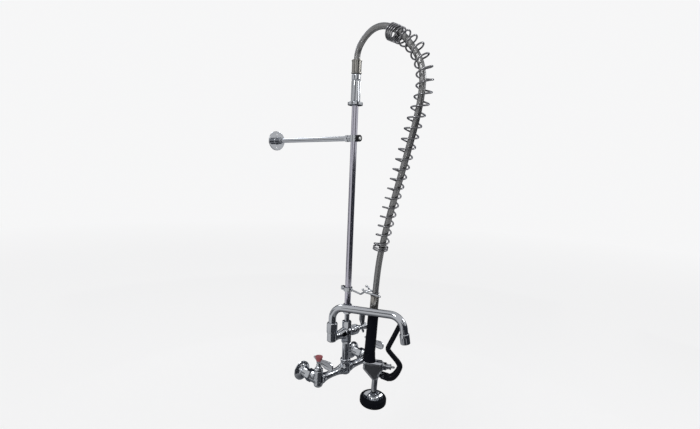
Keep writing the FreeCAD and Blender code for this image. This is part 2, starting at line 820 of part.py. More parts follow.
def lower_riser():
    """Nipple from the mixing body to the add-on faucet, with its union."""
    nut_bottom, nut_top, steps = union_steps(
        s.nipple_thread_dia, s.union_spigot_dia, s.union_grip, s.union_wall)
    thread_start = s.nipple_top - s.union_grip - s.seat_gap
    bore = s.nipple_bore / 2
    nipple = turned("nipple_turning", [
        (bore, s.nipple_depth), (s.nipple_dia / 2, s.nipple_depth), (s.nipple_dia / 2, thread_start),
        (s.nipple_thread_dia / 2, thread_start), (s.nipple_thread_dia / 2, s.nipple_top),
        (bore, s.nipple_top),
    ])
    keep("lower_nipple", place(nipple, y=-s.stand_off))
    nut = hexagon("union_nut_hexagon", s.union_flats, nut_bottom, nut_top - nut_bottom, steps)
    keep("union_nut", place(nut, y=-s.stand_off, z=s.nipple_top))


def addon_body():
    """Add-on faucet casting: hub on the riser, swivel chamber on the left, valve chamber on the right."""
    lip_bottom = s.nipple_top + s.washer_thickness
    spigot_bottom = lip_bottom + s.lip_thickness
    hub_bottom = spigot_bottom + s.union_wall + s.seat_gap
    spigot = s.union_spigot_dia / 2
    lip = s.nipple_thread_dia / 2 - s.lip_clearance / 2
    hub = s.addon_hub_dia / 2
    middle = s.addon_height
    column = turned("addon_column", [
        (ZERO, lip_bottom), (lip, lip_bottom), (lip, spigot_bottom), (spigot, spigot_bottom),
        (spigot, hub_bottom), (s.addon_hub_base_dia / 2, hub_bottom),
        (hub, middle - s.addon_hub_half / 2, s.addon_hub_round, 1), (hub, middle + s.addon_hub_half / 2),
        (s.addon_shoulder_dia / 2, middle + s.addon_hub_half + s.addon_hub_shoulder, s.addon_hub_round, 1),
        (s.addon_shoulder_dia / 2, s.addon_shoulder), (s.addon_boss_dia / 2, s.addon_shoulder),
        (s.addon_boss_dia / 2, s.addon_boss_top), (ZERO, s.addon_boss_top),
    ])
    place(column, y=-s.stand_off)
    swivel = s.swivel_dia / 2
    thread_top = s.swivel_shoulder + s.swivel_thread_length
    chamber = turned("swivel_chamber", [
        (ZERO, s.swivel_bottom), (s.swivel_foot_dia / 2, s.swivel_bottom),
        (swivel, s.swivel_bottom + s.swivel_foot_height, s.swivel_foot_radius, 1),
        (swivel, s.swivel_shoulder), (s.swivel_thread_dia / 2, s.swivel_shoulder),
        (s.swivel_thread_dia / 2, thread_top), (ZERO, thread_top),
    ])
    place(chamber, x=-s.swivel_x, y=-s.stand_off)
    horn = turned("addon_horn", [
        (ZERO, -s.swivel_x), (s.horn_end_dia / 2, -s.swivel_x),
        (s.horn_end_dia / 2, s.horn_end_length - s.swivel_x), (s.horn_root_dia / 2, -s.horn_root_reach),
        (s.horn_root_dia / 2, ZERO), (ZERO, ZERO),
    ])
    place(horn, y=-s.stand_off, z=middle, rotation=ALONG_X)
    face = s.addon_valve_x + s.chamber_top
    wide = s.addon_chamber_dia / 2
    arm = turned("addon_arm", [
        (ZERO, ZERO), (s.addon_arm_dia / 2, ZERO), (s.addon_arm_dia / 2, s.addon_chamber_start),
        (wide, s.addon_chamber_start + s.edge_chamfer * 2), (wide, face - s.edge_chamfer * 2),
        (wide - s.edge_chamfer * 2, face), (ZERO, face),
    ])
    octagon = prism("addon_facets", 8, wide, face)
    for item in (arm, octagon):
        place(item, y=-s.stand_off, z=middle, rotation=ALONG_X)
    nut_corner = s.union_flats * HEX_CORNER_SHARE + s.seat_gap
    nut_room = rod("addon_nut_room", nut_corner * 2, hub_bottom - s.nipple_top)
    place(nut_room, y=-s.stand_off, z=s.nipple_top)
    branches = fuse("addon_branches", horn, common("addon_faceted_arm", arm, octagon))
    solid = fuse("addon_solid", column, chamber, cut("addon_branches_cleared", branches, nut_room))
    waterway = rod("addon_waterway", s.addon_bore, s.addon_boss_top - lip_bottom + s.cut_overrun * 2)
    place(waterway, y=-s.stand_off, z=lip_bottom - s.cut_overrun)
    crossing_length = s.swivel_x + s.addon_valve_x + s.addon_well_floor + s.cut_overrun
    crossing = rod("addon_crossing", s.addon_bore, crossing_length)
    place(crossing, x=-s.swivel_x, y=-s.stand_off, z=middle, rotation=ALONG_X)
    barrel_dia = s.spout_dia + s.spout_running_gap * 2
    barrel = rod("swivel_barrel", barrel_dia, thread_top - s.swivel_floor + s.cut_overrun)
    place(barrel, x=-s.swivel_x, y=-s.stand_off, z=s.swivel_floor)
    keep("addon_body", cut("addon_casting", solid, waterway, crossing, barrel, valve_well("addon")))


def riser():
    """Tail, coupling and pipe of the riser, with the nut that clamps it to the add-on faucet."""
    grip = s.addon_boss_top - s.addon_shoulder - s.seat_gap
    nut_bottom, nut_top, steps = union_steps(s.addon_boss_dia, s.tail_dia, grip, s.riser_nut_wall)
    nut = hexagon("riser_nut_hexagon", s.riser_nut_flats, nut_bottom, nut_top - nut_bottom, steps)
    keep("riser_nut", place(nut, y=-s.stand_off, z=s.addon_boss_top))
    lip = s.addon_boss_dia / 2 - s.lip_clearance / 2
    tail = s.tail_dia / 2
    bore = s.tail_bore / 2
    lip_top = s.washer_thickness + s.lip_thickness
    tail_length = s.tail_top - s.addon_boss_top
    tail_piece = turned("riser_tail_turning", [
        (bore, s.washer_thickness), (lip, s.washer_thickness), (lip, lip_top), (tail, lip_top),
        (tail, tail_length), (bore, tail_length),
    ])
    keep("riser_tail", place(tail_piece, y=-s.stand_off, z=s.addon_boss_top))
    below = s.riser_bottom - s.riser_coupling_bottom
    coupling = hexagon("riser_coupling_hexagon", s.riser_coupling_flats, ZERO, s.riser_coupling_height, [
        (tail + s.stem_gap, ZERO), (tail + s.stem_gap, below),
        (s.riser_dia / 2 + s.stem_gap, below), (s.riser_dia / 2 + s.stem_gap, s.riser_coupling_height),
    ])
    keep("riser_coupling", place(coupling, y=-s.stand_off, z=s.riser_coupling_bottom))
    pipe = turned("riser_pipe_tube", [
        (s.riser_bore / 2, s.riser_bottom), (s.riser_dia / 2, s.riser_bottom),
        (s.riser_dia / 2, riser_top), (s.riser_bore / 2, riser_top),
    ])
    keep("riser_pipe", place(pipe, y=-s.stand_off))
    lower = washer("nipple_washer", s.nipple_thread_dia, s.nipple_bore, s.nipple_top)
    upper = washer("tail_washer", s.addon_boss_dia, s.addon_bore, s.addon_boss_top)
    for ring in (lower, upper):
        place(ring, y=-s.stand_off)
    keep("riser_washers", group("riser_washer_pair", lower, upper))


sleeve_bottom = ring_level + s.collar_height + s.seat_gap
sleeve_face = sleeve_top + s.sleeve_spigot_length
hose_nut_top = sleeve_face + s.washer_thickness + s.lip_thickness + s.hose_nut_wall
upper_ferrule_bottom = hose_nut_top + s.seat_gap
upper_ferrule_top = upper_ferrule_bottom + s.upper_ferrule_length


def riser_head():
    """Spring collar, hexagonal sleeve, hose nut and washer on top of the riser."""
    inner = s.riser_dia / 2 + s.stem_gap
    hub = s.collar_hub_dia / 2
    plate = s.collar_dia / 2
    rise = (s.collar_height - s.collar_plate) / 2
    soft = s.edge_chamfer
    collar = turned("spring_collar_turning", [
        (inner, ZERO), (hub, ZERO), (hub, rise), (plate - soft, rise),
        (plate, rise + soft, soft, 1), (plate, rise + s.collar_plate - soft),
        (plate - soft, rise + s.collar_plate, soft, 1), (hub, rise + s.collar_plate),
        (hub, s.collar_height), (inner, s.collar_height),
    ])
    keep("spring_collar", place(collar, y=-s.stand_off, z=ring_level))
    bore = s.sleeve_bore / 2
    hex_height = sleeve_top - sleeve_bottom
    stop = riser_top - sleeve_bottom + s.seat_gap
    hex_part = hexagon("sleeve_hexagon", s.sleeve_flats, ZERO, hex_height, [
        (inner, ZERO), (inner, stop), (bore, stop), (bore, hex_height),
    ])
    spigot_top = hex_height + s.sleeve_spigot_length
    spigot = turned("sleeve_spigot", [
        (bore, hex_height), (s.sleeve_spigot_dia / 2, hex_height), (s.sleeve_spigot_dia / 2, spigot_top),
        (bore, spigot_top),
    ])
    sleeve = fuse("riser_sleeve_piece", hex_part, spigot)
    keep("riser_sleeve", place(sleeve, y=-s.stand_off, z=sleeve_bottom))
    grip = s.sleeve_spigot_length - s.seat_gap
    nut_bottom, nut_top, steps = union_steps(s.sleeve_spigot_dia, s.hose_stem_dia, grip, s.hose_nut_wall)
    wide = s.hose_nut_dia / 2
    narrow = s.hose_nut_end_dia / 2
    nut = turned("hose_nut_turning", [
        *steps, (narrow, nut_top), (wide, nut_top - s.hose_nut_shoulder, s.hose_nut_round, -1),
        (wide, nut_bottom + s.hose_nut_shoulder), (narrow, nut_bottom, s.hose_nut_round, -1),
    ])
    keep("hose_nut", place(nut, y=-s.stand_off, z=sleeve_face))
    keep("hose_washer", place(washer("hose_washer_ring", s.sleeve_spigot_dia, s.sleeve_bore, ZERO),
                              y=-s.stand_off, z=sleeve_face))


def crimped_ferrule(name, diameter, length, foot):
    """A ferrule crimped onto the hose; foot lists the corners of its stem from the bore up."""
    outer = diameter / 2
    waist = outer - s.ferrule_waist
    soft = s.edge_chamfer
    rim = s.ferrule_rim + s.ferrule_waist
    shell = turned(name, [
        *foot, (outer - soft, ZERO), (outer, soft), (outer, s.ferrule_rim), (waist, rim),
        (waist, length - rim), (outer, length - s.ferrule_rim),
        (outer, length - soft), (outer - soft, length), (s.ferrule_bore / 2, length),
    ])
    reach = waist + s.crimp_radius - s.crimp_depth
    return ring_of_cuts(shell, name + "_crimp", CRIMP_COUNT, s.crimp_radius, reach, rim, length - rim * 2)


def hose_ends():
    """The ferrules at the two ends of the hose."""
    bore = s.ferrule_bore / 2
    lip = s.sleeve_spigot_dia / 2 - s.lip_clearance / 2
    stem = s.hose_stem_dia / 2
    lip_top = -s.hose_nut_wall - s.seat_gap
    lip_bottom = lip_top - s.lip_thickness
    upper = crimped_ferrule("upper_ferrule_shell", s.upper_ferrule_dia, s.upper_ferrule_length, [
        (bore, lip_bottom), (lip, lip_bottom), (lip, lip_top), (stem, lip_top), (stem, ZERO),
    ])
    keep("upper_ferrule", place(upper, y=-s.stand_off, z=upper_ferrule_bottom))
    lower = crimped_ferrule(
        "lower_ferrule_shell", s.lower_ferrule_dia, s.lower_ferrule_length, [(bore, ZERO)])
    keep("lower_ferrule", place(lower, z=s.lower_ferrule_bottom, frame=HANDSET))


def route_point(reach, height):
    return FreeCAD.Vector(0, -s.stand_off.value - reach, height)


def hose_points():
    """The hose's corners, from the upper ferrule's face to the lower one's."""
    end = HANDSET.multVec(Z_AXIS * (s.lower_ferrule_bottom + s.lower_ferrule_length + s.seat_gap).value)
    lead = HANDSET.Rotation.multVec(Z_AXIS) * HOSE_LAST_RUN
    start = route_point(0, upper_ferrule_top.value)
    stretch = (start.z - end.z) / (ROUTE_TOP - ROUTE_FOOT)
    corners = [route_point(reach, end.z + (height - ROUTE_FOOT) * stretch) for reach, height in HOSE_ROUTE]
    return [start] + corners + [end + lead, end]


def rounded_route(points):
    """Straight runs joined by tangent arcs; returns the edges and the arcs' radii."""
    edges = []
    radii = []
    last = points[0]
    for before, corner, after in zip(points, points[1:], points[2:]):
        arriving = corner - before
        leaving = after - corner
        half_turn = arriving.getAngle(leaving) / 2
        first_share = ROUTE_END_SHARE if before is points[0] else ROUTE_BEND_SHARE
        last_share = ROUTE_END_SHARE if after is points[-1] else ROUTE_BEND_SHARE
        reach = min(first_share * arriving.Length, last_share * leaving.Length)
        radii.append(reach / math.tan(half_turn))
        inward = (leaving.normalize() - arriving.normalize()).normalize()
        start = corner - arriving * reach
        end = corner + leaving * reach
        middle = corner + inward * (radii[-1] / math.cos(half_turn) - radii[-1])
        edges.append(Part.LineSegment(last, start).toShape())
        edges.append(Part.Arc(start, middle, end).toShape())
        last = end
    edges.append(Part.LineSegment(last, points[-1]).toShape())
    return edges, radii


def swept(path, radius):
    """A round bar along a wire."""
    start = path.Edges[0].valueAt(path.Edges[0].FirstParameter)
    heading = path.Edges[0].tangentAt(path.Edges[0].FirstParameter)
    section = Part.Wire([Part.Circle(start, heading, radius).toShape()])
    return path.makePipeShell([section], True, False)


def hose():
    """The flexible hose: a plain tube along its route."""
    edges, radii = rounded_route(hose_points())
    path = Part.Wire(edges)
    outer = swept(path, s.hose_dia.value / 2)
    inner = swept(path, s.hose_bore.value / 2)
    feature = doc.addObject("Part::Feature", "hose_tube")
    feature.Shape = outer.cut(inner)
    section = math.pi * ((s.hose_dia.value / 2) ** 2 - (s.hose_bore.value / 2) ** 2)
    print("hose length", round(path.Length, 1), "radii", [round(radius, 1) for radius in radii])
    print("hose volume over section times length", round(feature.Shape.Volume / (section * path.Length), 5))
    keep("hose", feature)
    return edges


def along(edges, distance):
    """Point and heading at a distance along a chain of edges."""
    for edge in edges:
        if distance <= edge.Length or edge is edges[-1]:
            parameter = edge.getParameterByLength(min(distance, edge.Length))
            return edge.valueAt(parameter), edge.tangentAt(parameter)
        distance -= edge.Length


def biarc(start, heading, end, end_heading):
    """Two arcs that leave start along heading and reach end along end_heading."""
    chord = end - start
    both = heading + end_heading
    square = 2 * (1 - heading.dot(end_heading))
    reach = (-chord.dot(both) + math.sqrt(chord.dot(both) ** 2 + square * chord.dot(chord))) / square
    first = start + heading * reach
    second = end - end_heading * reach
    joint = (first + second) / 2
    arcs = []
    for low, corner, high in ((start, first, joint), (joint, second, end)):
        middle = (low + high) / 2
        half = (high - low).Length / 2
        side = (corner - low).Length
        rise = (corner - middle).Length
        radius = side * half / rise
        to_corner = (corner - middle).normalize()
        bulge = radius - math.sqrt(max(radius ** 2 - half ** 2, 0))
        arcs.append(Part.Arc(low, middle + to_corner * bulge, high).toShape())
    return arcs


def coil(points, headings, wire_radius):
    """One unbroken wire through the points, a biarc for each half turn."""
    arcs = []
    for index in range(len(points) - 1):
        arcs += biarc(points[index], headings[index], points[index + 1], headings[index + 1])
    return swept(Part.Wire(arcs), wire_radius), arcs


def least_gap(arcs, wire, turn_arcs):
    """Least distance between turns of a coil, less the wire's thickness, measured on points."""
    samples = [edge.discretize(Number=GAP_SAMPLES)[:-1] for edge in arcs]
    nearest = float("inf")
    for index, near in enumerate(samples):
        for other in samples[index + turn_arcs - 1:index + turn_arcs * 2]:
            nearest = min(nearest, min(a.distanceToPoint(b) for a in near for b in other))
    return nearest - wire


def spring_pitches():
    """Pitch of each turn of the overhead spring, from its closed top to its closed end."""
    closed, wide, foot = s.spring_closed_pitch.value, s.spring_open_pitch.value, s.spring_foot_pitch.value
    tail = [s.spring_tail_pitch.value] * SPRING_TAIL_TURNS
    step = (wide - closed) / (SPRING_OPENING_TURNS + 1)
    top = [closed] * SPRING_CLOSED_TURNS
    top += [closed + step * turn for turn in range(1, SPRING_OPENING_TURNS + 1)]
    room = (s.spring_to - s.spring_from).value - sum(top) - sum(tail)
    count = round(room / ((wide + foot) / 2))
    hanging = [wide + (foot - wide) * turn / count for turn in range(count)]
    fit = room / sum(hanging)
    return top + [pitch * fit for pitch in hanging] + tail


def spring_lean(share):
    """How far the spring leans off the hose's axis at a share of its length, eased between the pairs."""
    for (low, before), (high, after) in zip(SPRING_LEAN, SPRING_LEAN[1:]):
        if share <= high:
            ease = (1 - math.cos(math.pi * (share - low) / (high - low))) / 2
            return before + (after - before) * ease
    return SPRING_LEAN[-1][1]


def overhead_spring(edges):
    """The loose spring that rests on the hose's arch and hangs round it."""
    pitches = spring_pitches()
    total = s.spring_to.value - s.spring_from.value
    wire = s.spring_wire.value / 2

    def wire_point(turn):
        """Wire centre after a number of turns."""
        whole = min(int(turn), len(pitches) - 1)
        travelled = sum(pitches[:whole]) + pitches[whole] * (turn - whole)
        share = travelled / total
        centre, heading = along(edges, s.spring_from.value + travelled)
        inward = X_AXIS.cross(heading)
        dia = s.spring_top_dia.value + (s.spring_end_dia - s.spring_top_dia).value * share
        radius = dia / 2 - wire
        sag = (radius - wire - s.hose_dia.value / 2 - s.spring_rest_gap.value) * spring_lean(share)
        angle = 2 * math.pi * turn
        return centre + inward * sag + (inward * math.cos(angle) + X_AXIS * math.sin(angle)) * radius

    steps = len(pitches) * 2
    points = []
    headings = []
    for step in range(steps + 1):
        turn = step / 2
        before = wire_point(max(turn - HEADING_STEP_SHARE, 0))
        after = wire_point(min(turn + HEADING_STEP_SHARE, len(pitches)))
        points.append(wire_point(turn))
        headings.append((after - before).normalize())
    shape, arcs = coil(points, headings, wire)
    feature = doc.addObject("Part::Feature", "overhead_spring_wire")
    feature.Shape = shape
    gap = least_gap(arcs, s.spring_wire.value, 4)
    print("overhead spring turns", len(pitches), "least gap", round(gap, 2))
    keep("overhead_spring", feature)


def straight_coil(name, turns, length, diameter, wire_dia):
    """A small cylindrical spring standing on its own origin."""
    radius = (diameter - wire_dia).value / 2
    pitch = (length - wire_dia).value / turns
    points = []
    headings = []
    for step in range(turns * 2 + 1):
        angle = math.pi * step
        points.append(FreeCAD.Vector(
            radius * math.cos(angle), radius * math.sin(angle), wire_dia.value / 2 + pitch * step / 2))
        around = 2 * math.pi * radius
        heading = FreeCAD.Vector(-around * math.sin(angle), around * math.cos(angle), pitch)
        headings.append(heading.normalize())
    shape, arcs = coil(points, headings, wire_dia.value / 2)
    feature = doc.addObject("Part::Feature", name)
    feature.Shape = shape
    print(name, "least gap", round(least_gap(arcs, wire_dia.value, 4), 2))
    return feature


def bent_rod(name, diameter, corners, bore=None):
    """A round bar or tube bent along a path in the XZ plane; corners are (x, z) or arcs."""
    body = new_body(name)
    path = new_sketch(body, name + "_path", "XZ_Plane")
    draw(path, corners, closed=False)
    section = body.newObject("Sketcher::SketchObject", name + "_section")
    section.AttachmentSupport = [(path, "Edge1")]
    section.MapMode = "NormalToEdge"
    section.MapReversed = False
    for index, size in enumerate([diameter] + ([bore] if bore else [])):
        circle = section.addGeometry(Part.Circle(FreeCAD.Vector(), Z_AXIS, size.value / 2), False)
        section.addConstraint(Sketcher.Constraint("Coincident", circle, 3, -1, 1))
        tie(section, Sketcher.Constraint("Radius", circle, size.value / 2), f"circle{index}", size / 2)
    pipe = body.newObject("PartDesign::AdditivePipe", name + "_pipe")
    pipe.Profile = section
    pipe.Spine = (path, [f"Edge{index}" for index in range(1, len(corners))])
    return body


def rounded_corners(points, bend):
    """Turns the corners of a path into lines and tangent arcs of one radius, all tied to the sheet."""
    corners = [points[0]]
    for before, corner, after in zip(points, points[1:], points[2:]):
        arriving = (corner[0] - before[0], corner[1] - before[1])
        leaving = (after[0] - corner[0], after[1] - corner[1])
        lengths = [root(item[0] * item[0] + item[1] * item[1]) for item in (arriving, leaving)]
        ahead = (arriving[0] / lengths[0], arriving[1] / lengths[0])
        onward = (leaving[0] / lengths[1], leaving[1] / lengths[1])
        cross = ahead[0] * onward[1] - ahead[1] * onward[0]
        dot = ahead[0] * onward[0] + ahead[1] * onward[1]
        turn = 1 if cross.value > 0 else -1
        reach = bend * cross * turn / (1 + dot)
        corners.append((corner[0] - ahead[0] * reach, corner[1] - ahead[1] * reach))
        corners.append((corner[0] + onward[0] * reach, corner[1] + onward[1] * reach, bend, turn))
    return corners + [points[-1]]


def root(size):
    return Size(math.sqrt(size.value), f"sqrt({size.text})")


def hook():
    """Hose hook: a split clamp on the riser, its screw, and a bent rod that ends in two prongs."""
    inner = s.riser_dia / 2 + s.stem_gap
    ring = turned("hook_ring", [
        (inner, ZERO), (s.hook_clamp_dia / 2, ZERO), (s.hook_clamp_dia / 2, s.hook_clamp_height),
        (inner, s.hook_clamp_height),
    ])
    ear_start = s.riser_dia / 2 + s.edge_chamfer
    ear = block("hook_ear", s.hook_ear_width, s.hook_ear_reach - ear_start, s.hook_clamp_height)
    place(ear, x=-s.hook_ear_width / 2, y=ear_start)
    slit = block("hook_slit", s.hook_ear_slit, s.hook_ear_reach, s.hook_clamp_height + s.cut_overrun * 2)
    place(slit, x=-s.hook_ear_slit / 2, y=s.hook_slit_start, z=-s.cut_overrun)
    hole = rod("hook_screw_hole", s.hook_screw_dia + s.stem_gap * 2, s.hook_ear_width + s.cut_overrun * 2)
    screw_reach = (s.hook_ear_reach + s.hook_clamp_dia / 2) / 2
    screw_height = s.hook_clamp_height / 2
    place(hole, x=-s.hook_ear_width / 2 - s.cut_overrun, y=screw_reach, z=screw_height, rotation=ALONG_X)
    clamp = cut("hook_clamp_piece", fuse("hook_clamp_solid", ring, ear), slit, hole)
    keep("hook_clamp", place(clamp, y=-s.stand_off, z=hook_level))
    head = s.hook_screw_head_dia / 2
    shank = s.hook_screw_dia / 2
    length = s.hook_ear_width + s.hook_screw_head
    screw = turned("hook_screw_turning", [
        (ZERO, -s.hook_screw_head), (head - s.edge_chamfer, -s.hook_screw_head), (head, -s.edge_chamfer),
        (head, ZERO), (shank, ZERO), (shank, length), (ZERO, length),
    ])
    keep("hook_screw", place(screw, x=-s.hook_ear_width / 2, y=screw_reach - s.stand_off,
                             z=hook_level + screw_height, rotation=ALONG_X))
    start = s.hook_clamp_dia / 2 - s.edge_chamfer
    level = s.hook_prong_level
    arm = bent_rod("hook_arm", s.hook_rod_dia, rounded_corners([
        (start, s.hook_root_level), (s.hook_low_reach, s.hook_low_level), (s.hook_fork_reach, level),
    ], s.hook_bend))
    pieces = [place(arm, y=-s.stand_off, z=hook_level, rotation=FORWARD)]
    left_horn = (s.hook_left_horn_reach, s.hook_left_horn_level)
    right_horn = (s.hook_right_horn_reach, s.hook_right_horn_level)
    left_path = [left_horn, (s.hook_left_foot_reach, level), (s.hook_left_end, level)]
    right_path = [
        right_horn, (s.hook_right_top_reach, s.hook_right_top_level), (s.hook_fork_reach, level),
        (s.hook_right_end, level),
    ]
    for side, offset, path, bend in (("left", -s.hook_prong_half, left_path, s.hook_bend),
                                     ("right", s.hook_prong_half, right_path, s.hook_right_bend)):
        prong = bent_rod(f"hook_{side}_prong", s.hook_rod_dia, rounded_corners(path, bend))
        pieces.append(place(prong, x=offset, y=-s.stand_off, z=hook_level, rotation=FORWARD))
        ends = (("horn", s.hook_ball_dia, path[0]), ("tip", s.hook_rod_dia, path[-1]))
        for end, diameter, (reach, rise) in ends:
            round_end = ball(f"hook_{side}_{end}_ball", diameter)
            pieces.append(place(round_end, x=offset, y=-s.stand_off - reach, z=hook_level + rise))
    fork_y = -s.stand_off - s.hook_fork_reach
    bridge = rod("hook_bridge", s.hook_rod_dia, s.hook_prong_half * 2)
    place(bridge, x=-s.hook_prong_half, y=-s.stand_off - s.hook_bridge_reach, z=hook_level + level,
          rotation=ALONG_X)
    stub = rod("hook_stub", s.hook_rod_dia, s.hook_bridge_reach - s.hook_fork_reach)
    place(stub, y=fork_y, z=hook_level + level, rotation=TO_ROOM)
    knuckle = place(ball("hook_knuckle", s.hook_rod_dia), y=fork_y, z=hook_level + level)
    reach_cut = place(rod("hook_ring_clear", s.hook_clamp_dia, s.hook_clamp_height * 2),
                      y=-s.stand_off, z=hook_level - s.hook_clamp_height / 2)
    joined = fuse("hook_rods", *pieces, bridge, stub, knuckle)
    keep("hose_hook", cut("hose_hook_piece", joined, reach_cut))


def valve(side):
    """Spindle, bonnet, lever and colour index of one valve, in the valve's own frame."""
    frame = VALVES[side]
    stem = s.stem_dia / 2
    disc = s.stem_disc_dia / 2
    disc_bottom = WELL_FLOORS[side] + s.stem_disc_rise
    disc_top = disc_bottom + s.stem_disc_height
    stem_top = s.bonnet_top + s.seat_gap + s.hub_bore_depth
    spindle = turned(f"{side}_spindle", [
        (ZERO, disc_bottom), (disc, disc_bottom), (disc, disc_top), (stem, disc_top), (stem, stem_top),
        (ZERO, stem_top),
    ])
    keep(f"{side}_stem", place(spindle, frame=frame))
    bore = stem + s.stem_gap
    thread_bottom = s.chamber_top - s.bonnet_thread_depth + s.seat_gap
    thread = s.bonnet_thread_dia / 2 - s.thread_gap
    hex_bottom = s.chamber_top
    head = hexagon(f"{side}_bonnet_hexagon", s.bonnet_flats, hex_bottom, s.bonnet_hex_top - hex_bottom, [
        (bore, hex_bottom), (bore, s.bonnet_hex_top),
    ])
    neck = turned(f"{side}_bonnet_neck", [
        (bore, thread_bottom), (thread, thread_bottom), (thread, hex_bottom + s.edge_chamfer),
        (s.bonnet_neck_dia / 2, s.bonnet_hex_top), (s.bonnet_tip_dia / 2, s.bonnet_top), (bore, s.bonnet_top),
    ])
    keep(f"{side}_bonnet", place(fuse(f"{side}_bonnet_piece", head, neck), frame=frame))
    hub_bottom = s.bonnet_top + s.seat_gap
    hub = turned(f"{side}_hub", [
        (stem, hub_bottom), (s.hub_waist_dia / 2, hub_bottom), (s.hub_dia / 2, s.hub_top),
        (ZERO, s.hub_top), (ZERO, stem_top), (stem, stem_top),
    ])
    index_bottom = s.hub_top
    clear = s.index_dia / 2 + s.seat_gap
    foot_clear = s.index_foot_dia / 2 + s.seat_gap
    seat = index_bottom - s.seat_gap
    tip = s.lever_tip_radius
    tip_start = s.lever_reach - tip
    tail = s.tail_half
    shape = [
        (s.hub_waist_dia / 2, s.lever_root_bottom), (s.tail_reach - tail, s.tail_tip - tail),
        (s.tail_reach, s.tail_tip, tail, 1), (s.tail_reach - tail, s.tail_tip + tail, tail, 1),
        (clear, s.lever_root_top), (foot_clear, seat), (-foot_clear, seat), (-clear, s.lever_root_top),
        (-tip_start, s.lever_centre + tip), (-s.lever_reach, s.lever_centre, tip, 1),
        (-tip_start, s.lever_centre - tip, tip, 1),
        (-s.lever_heel, s.lever_centre - tip), (-s.hub_waist_dia / 2, s.lever_root_bottom),
    ]
    blade = slab(f"{side}_blade", "YZ_Plane", shape, s.lever_thickness)
    opening = rod(f"{side}_blade_bore", s.stem_dia, s.hub_bore_depth + s.seat_gap)
    place(opening, z=hub_bottom - s.seat_gap)
    lever = fuse(f"{side}_lever_piece", hub, cut(f"{side}_blade_open", blade, opening))
    keep(f"{side}_lever", place(lever, frame=frame))
    rim = s.index_dia / 2
    index = turned(f"{side}_index_turning", [
        (ZERO, index_bottom), (s.index_foot_dia / 2, index_bottom), (rim, s.index_top - s.index_rim),
        (rim, s.index_top), (rim - s.index_rim, s.index_top),
        (s.index_foot_dia / 2, s.index_top - s.index_dish), (ZERO, s.index_top - s.index_dish),
    ])
    keep(f"{side}_index", place(index, frame=frame))


def slopes(angle):
    """Sine and cosine of an angle that the sheet holds in degrees."""
    turn = math.radians(angle.value)
    return Size(math.sin(turn), f"sin({angle.text})"), Size(math.cos(turn), f"cos({angle.text})")


def spout():
    """Swing spout: a bent tube with its collar, seal rings, packing nut and aerator."""
    rise_sine, rise_cosine = slopes(s.spout_rise)
    lean_sine, lean_cosine = slopes(s.spout_lean)
    rise = s.spout_rise_bend
    fall = s.spout_drop_bend
    foot = s.spout_height - rise * (1 - rise_sine) / rise_cosine
    straight_z = s.spout_height + s.spout_straight * rise_sine / rise_cosine
    bend_x = s.spout_straight + fall * (rise_sine + lean_cosine)
    bend_z = straight_z + fall * (lean_sine - rise_cosine)
    end_x = bend_x + s.spout_drop * lean_sine
    end_z = bend_z - s.spout_drop * lean_cosine
    tube = bent_rod("spout_pipe", s.spout_dia, [
        (ZERO, s.spout_insert), (ZERO, foot), (rise * (1 - rise_sine), foot + rise * rise_cosine, rise, -1),
        (s.spout_straight, straight_z), (bend_x, bend_z, fall, -1), (end_x, end_z),
    ], bore=s.spout_bore)
    collar_bottom = s.swivel_shoulder + s.swivel_thread_length + s.seat_gap
    collar_top = collar_bottom + s.spout_collar_height
    in_wall = (s.spout_dia / 2 + s.spout_bore / 2) / 2
    collar = turned("spout_collar", [
        (in_wall, collar_bottom), (s.spout_collar_dia / 2, collar_bottom),
        (s.spout_collar_dia / 2, collar_top), (in_wall, collar_top),
    ])
    wall = s.spout_dia / 2 + s.spout_running_gap - s.ring_gap
    groove_floor = wall - s.ring_wire
    grooves = []
    rings = []
    for index in (1, 2):
        height = s.swivel_floor + s.ring_step * index
        grooves.append(turned(f"ring_groove_{index}", [
            (groove_floor, height - s.ring_groove / 2), (s.spout_dia, height - s.ring_groove / 2),
            (s.spout_dia, height + s.ring_groove / 2), (groove_floor, height + s.ring_groove / 2),
        ]))
        ring = doc.addObject("Part::Torus", f"seal_ring_{index}")
        ring.setExpression("Radius1", (wall - s.ring_wire / 2).text)
        ring.setExpression("Radius2", (s.ring_wire / 2).text)
        rings.append(place(ring, z=height, frame=SPOUT))
    body = cut("spout_piece", fuse("spout_solid", tube, collar), *grooves)
    keep("spout_tube", place(body, frame=SPOUT))
    keep("spout_seals", group("spout_seal_pair", *rings))
    thread = s.swivel_thread_dia / 2 + s.thread_gap
    shoulder = collar_top + s.seat_gap
    throat = s.spout_dia / 2 + s.spout_running_gap
    nut_bottom = s.swivel_shoulder + s.seat_gap
    nut = hexagon("spout_nut_hexagon", s.spout_nut_flats, nut_bottom, s.spout_nut_top - nut_bottom, [
        (thread, nut_bottom), (thread, shoulder), (throat, shoulder), (throat, s.spout_nut_top),
    ])
    keep("spout_nut", place(nut, x=-s.swivel_x, y=-s.stand_off))
    aerator(SPOUT.multiply(FreeCAD.Placement(
        FreeCAD.Vector(end_x.value, 0, end_z.value), FreeCAD.Rotation(Y_AXIS, -s.spout_lean.value))))


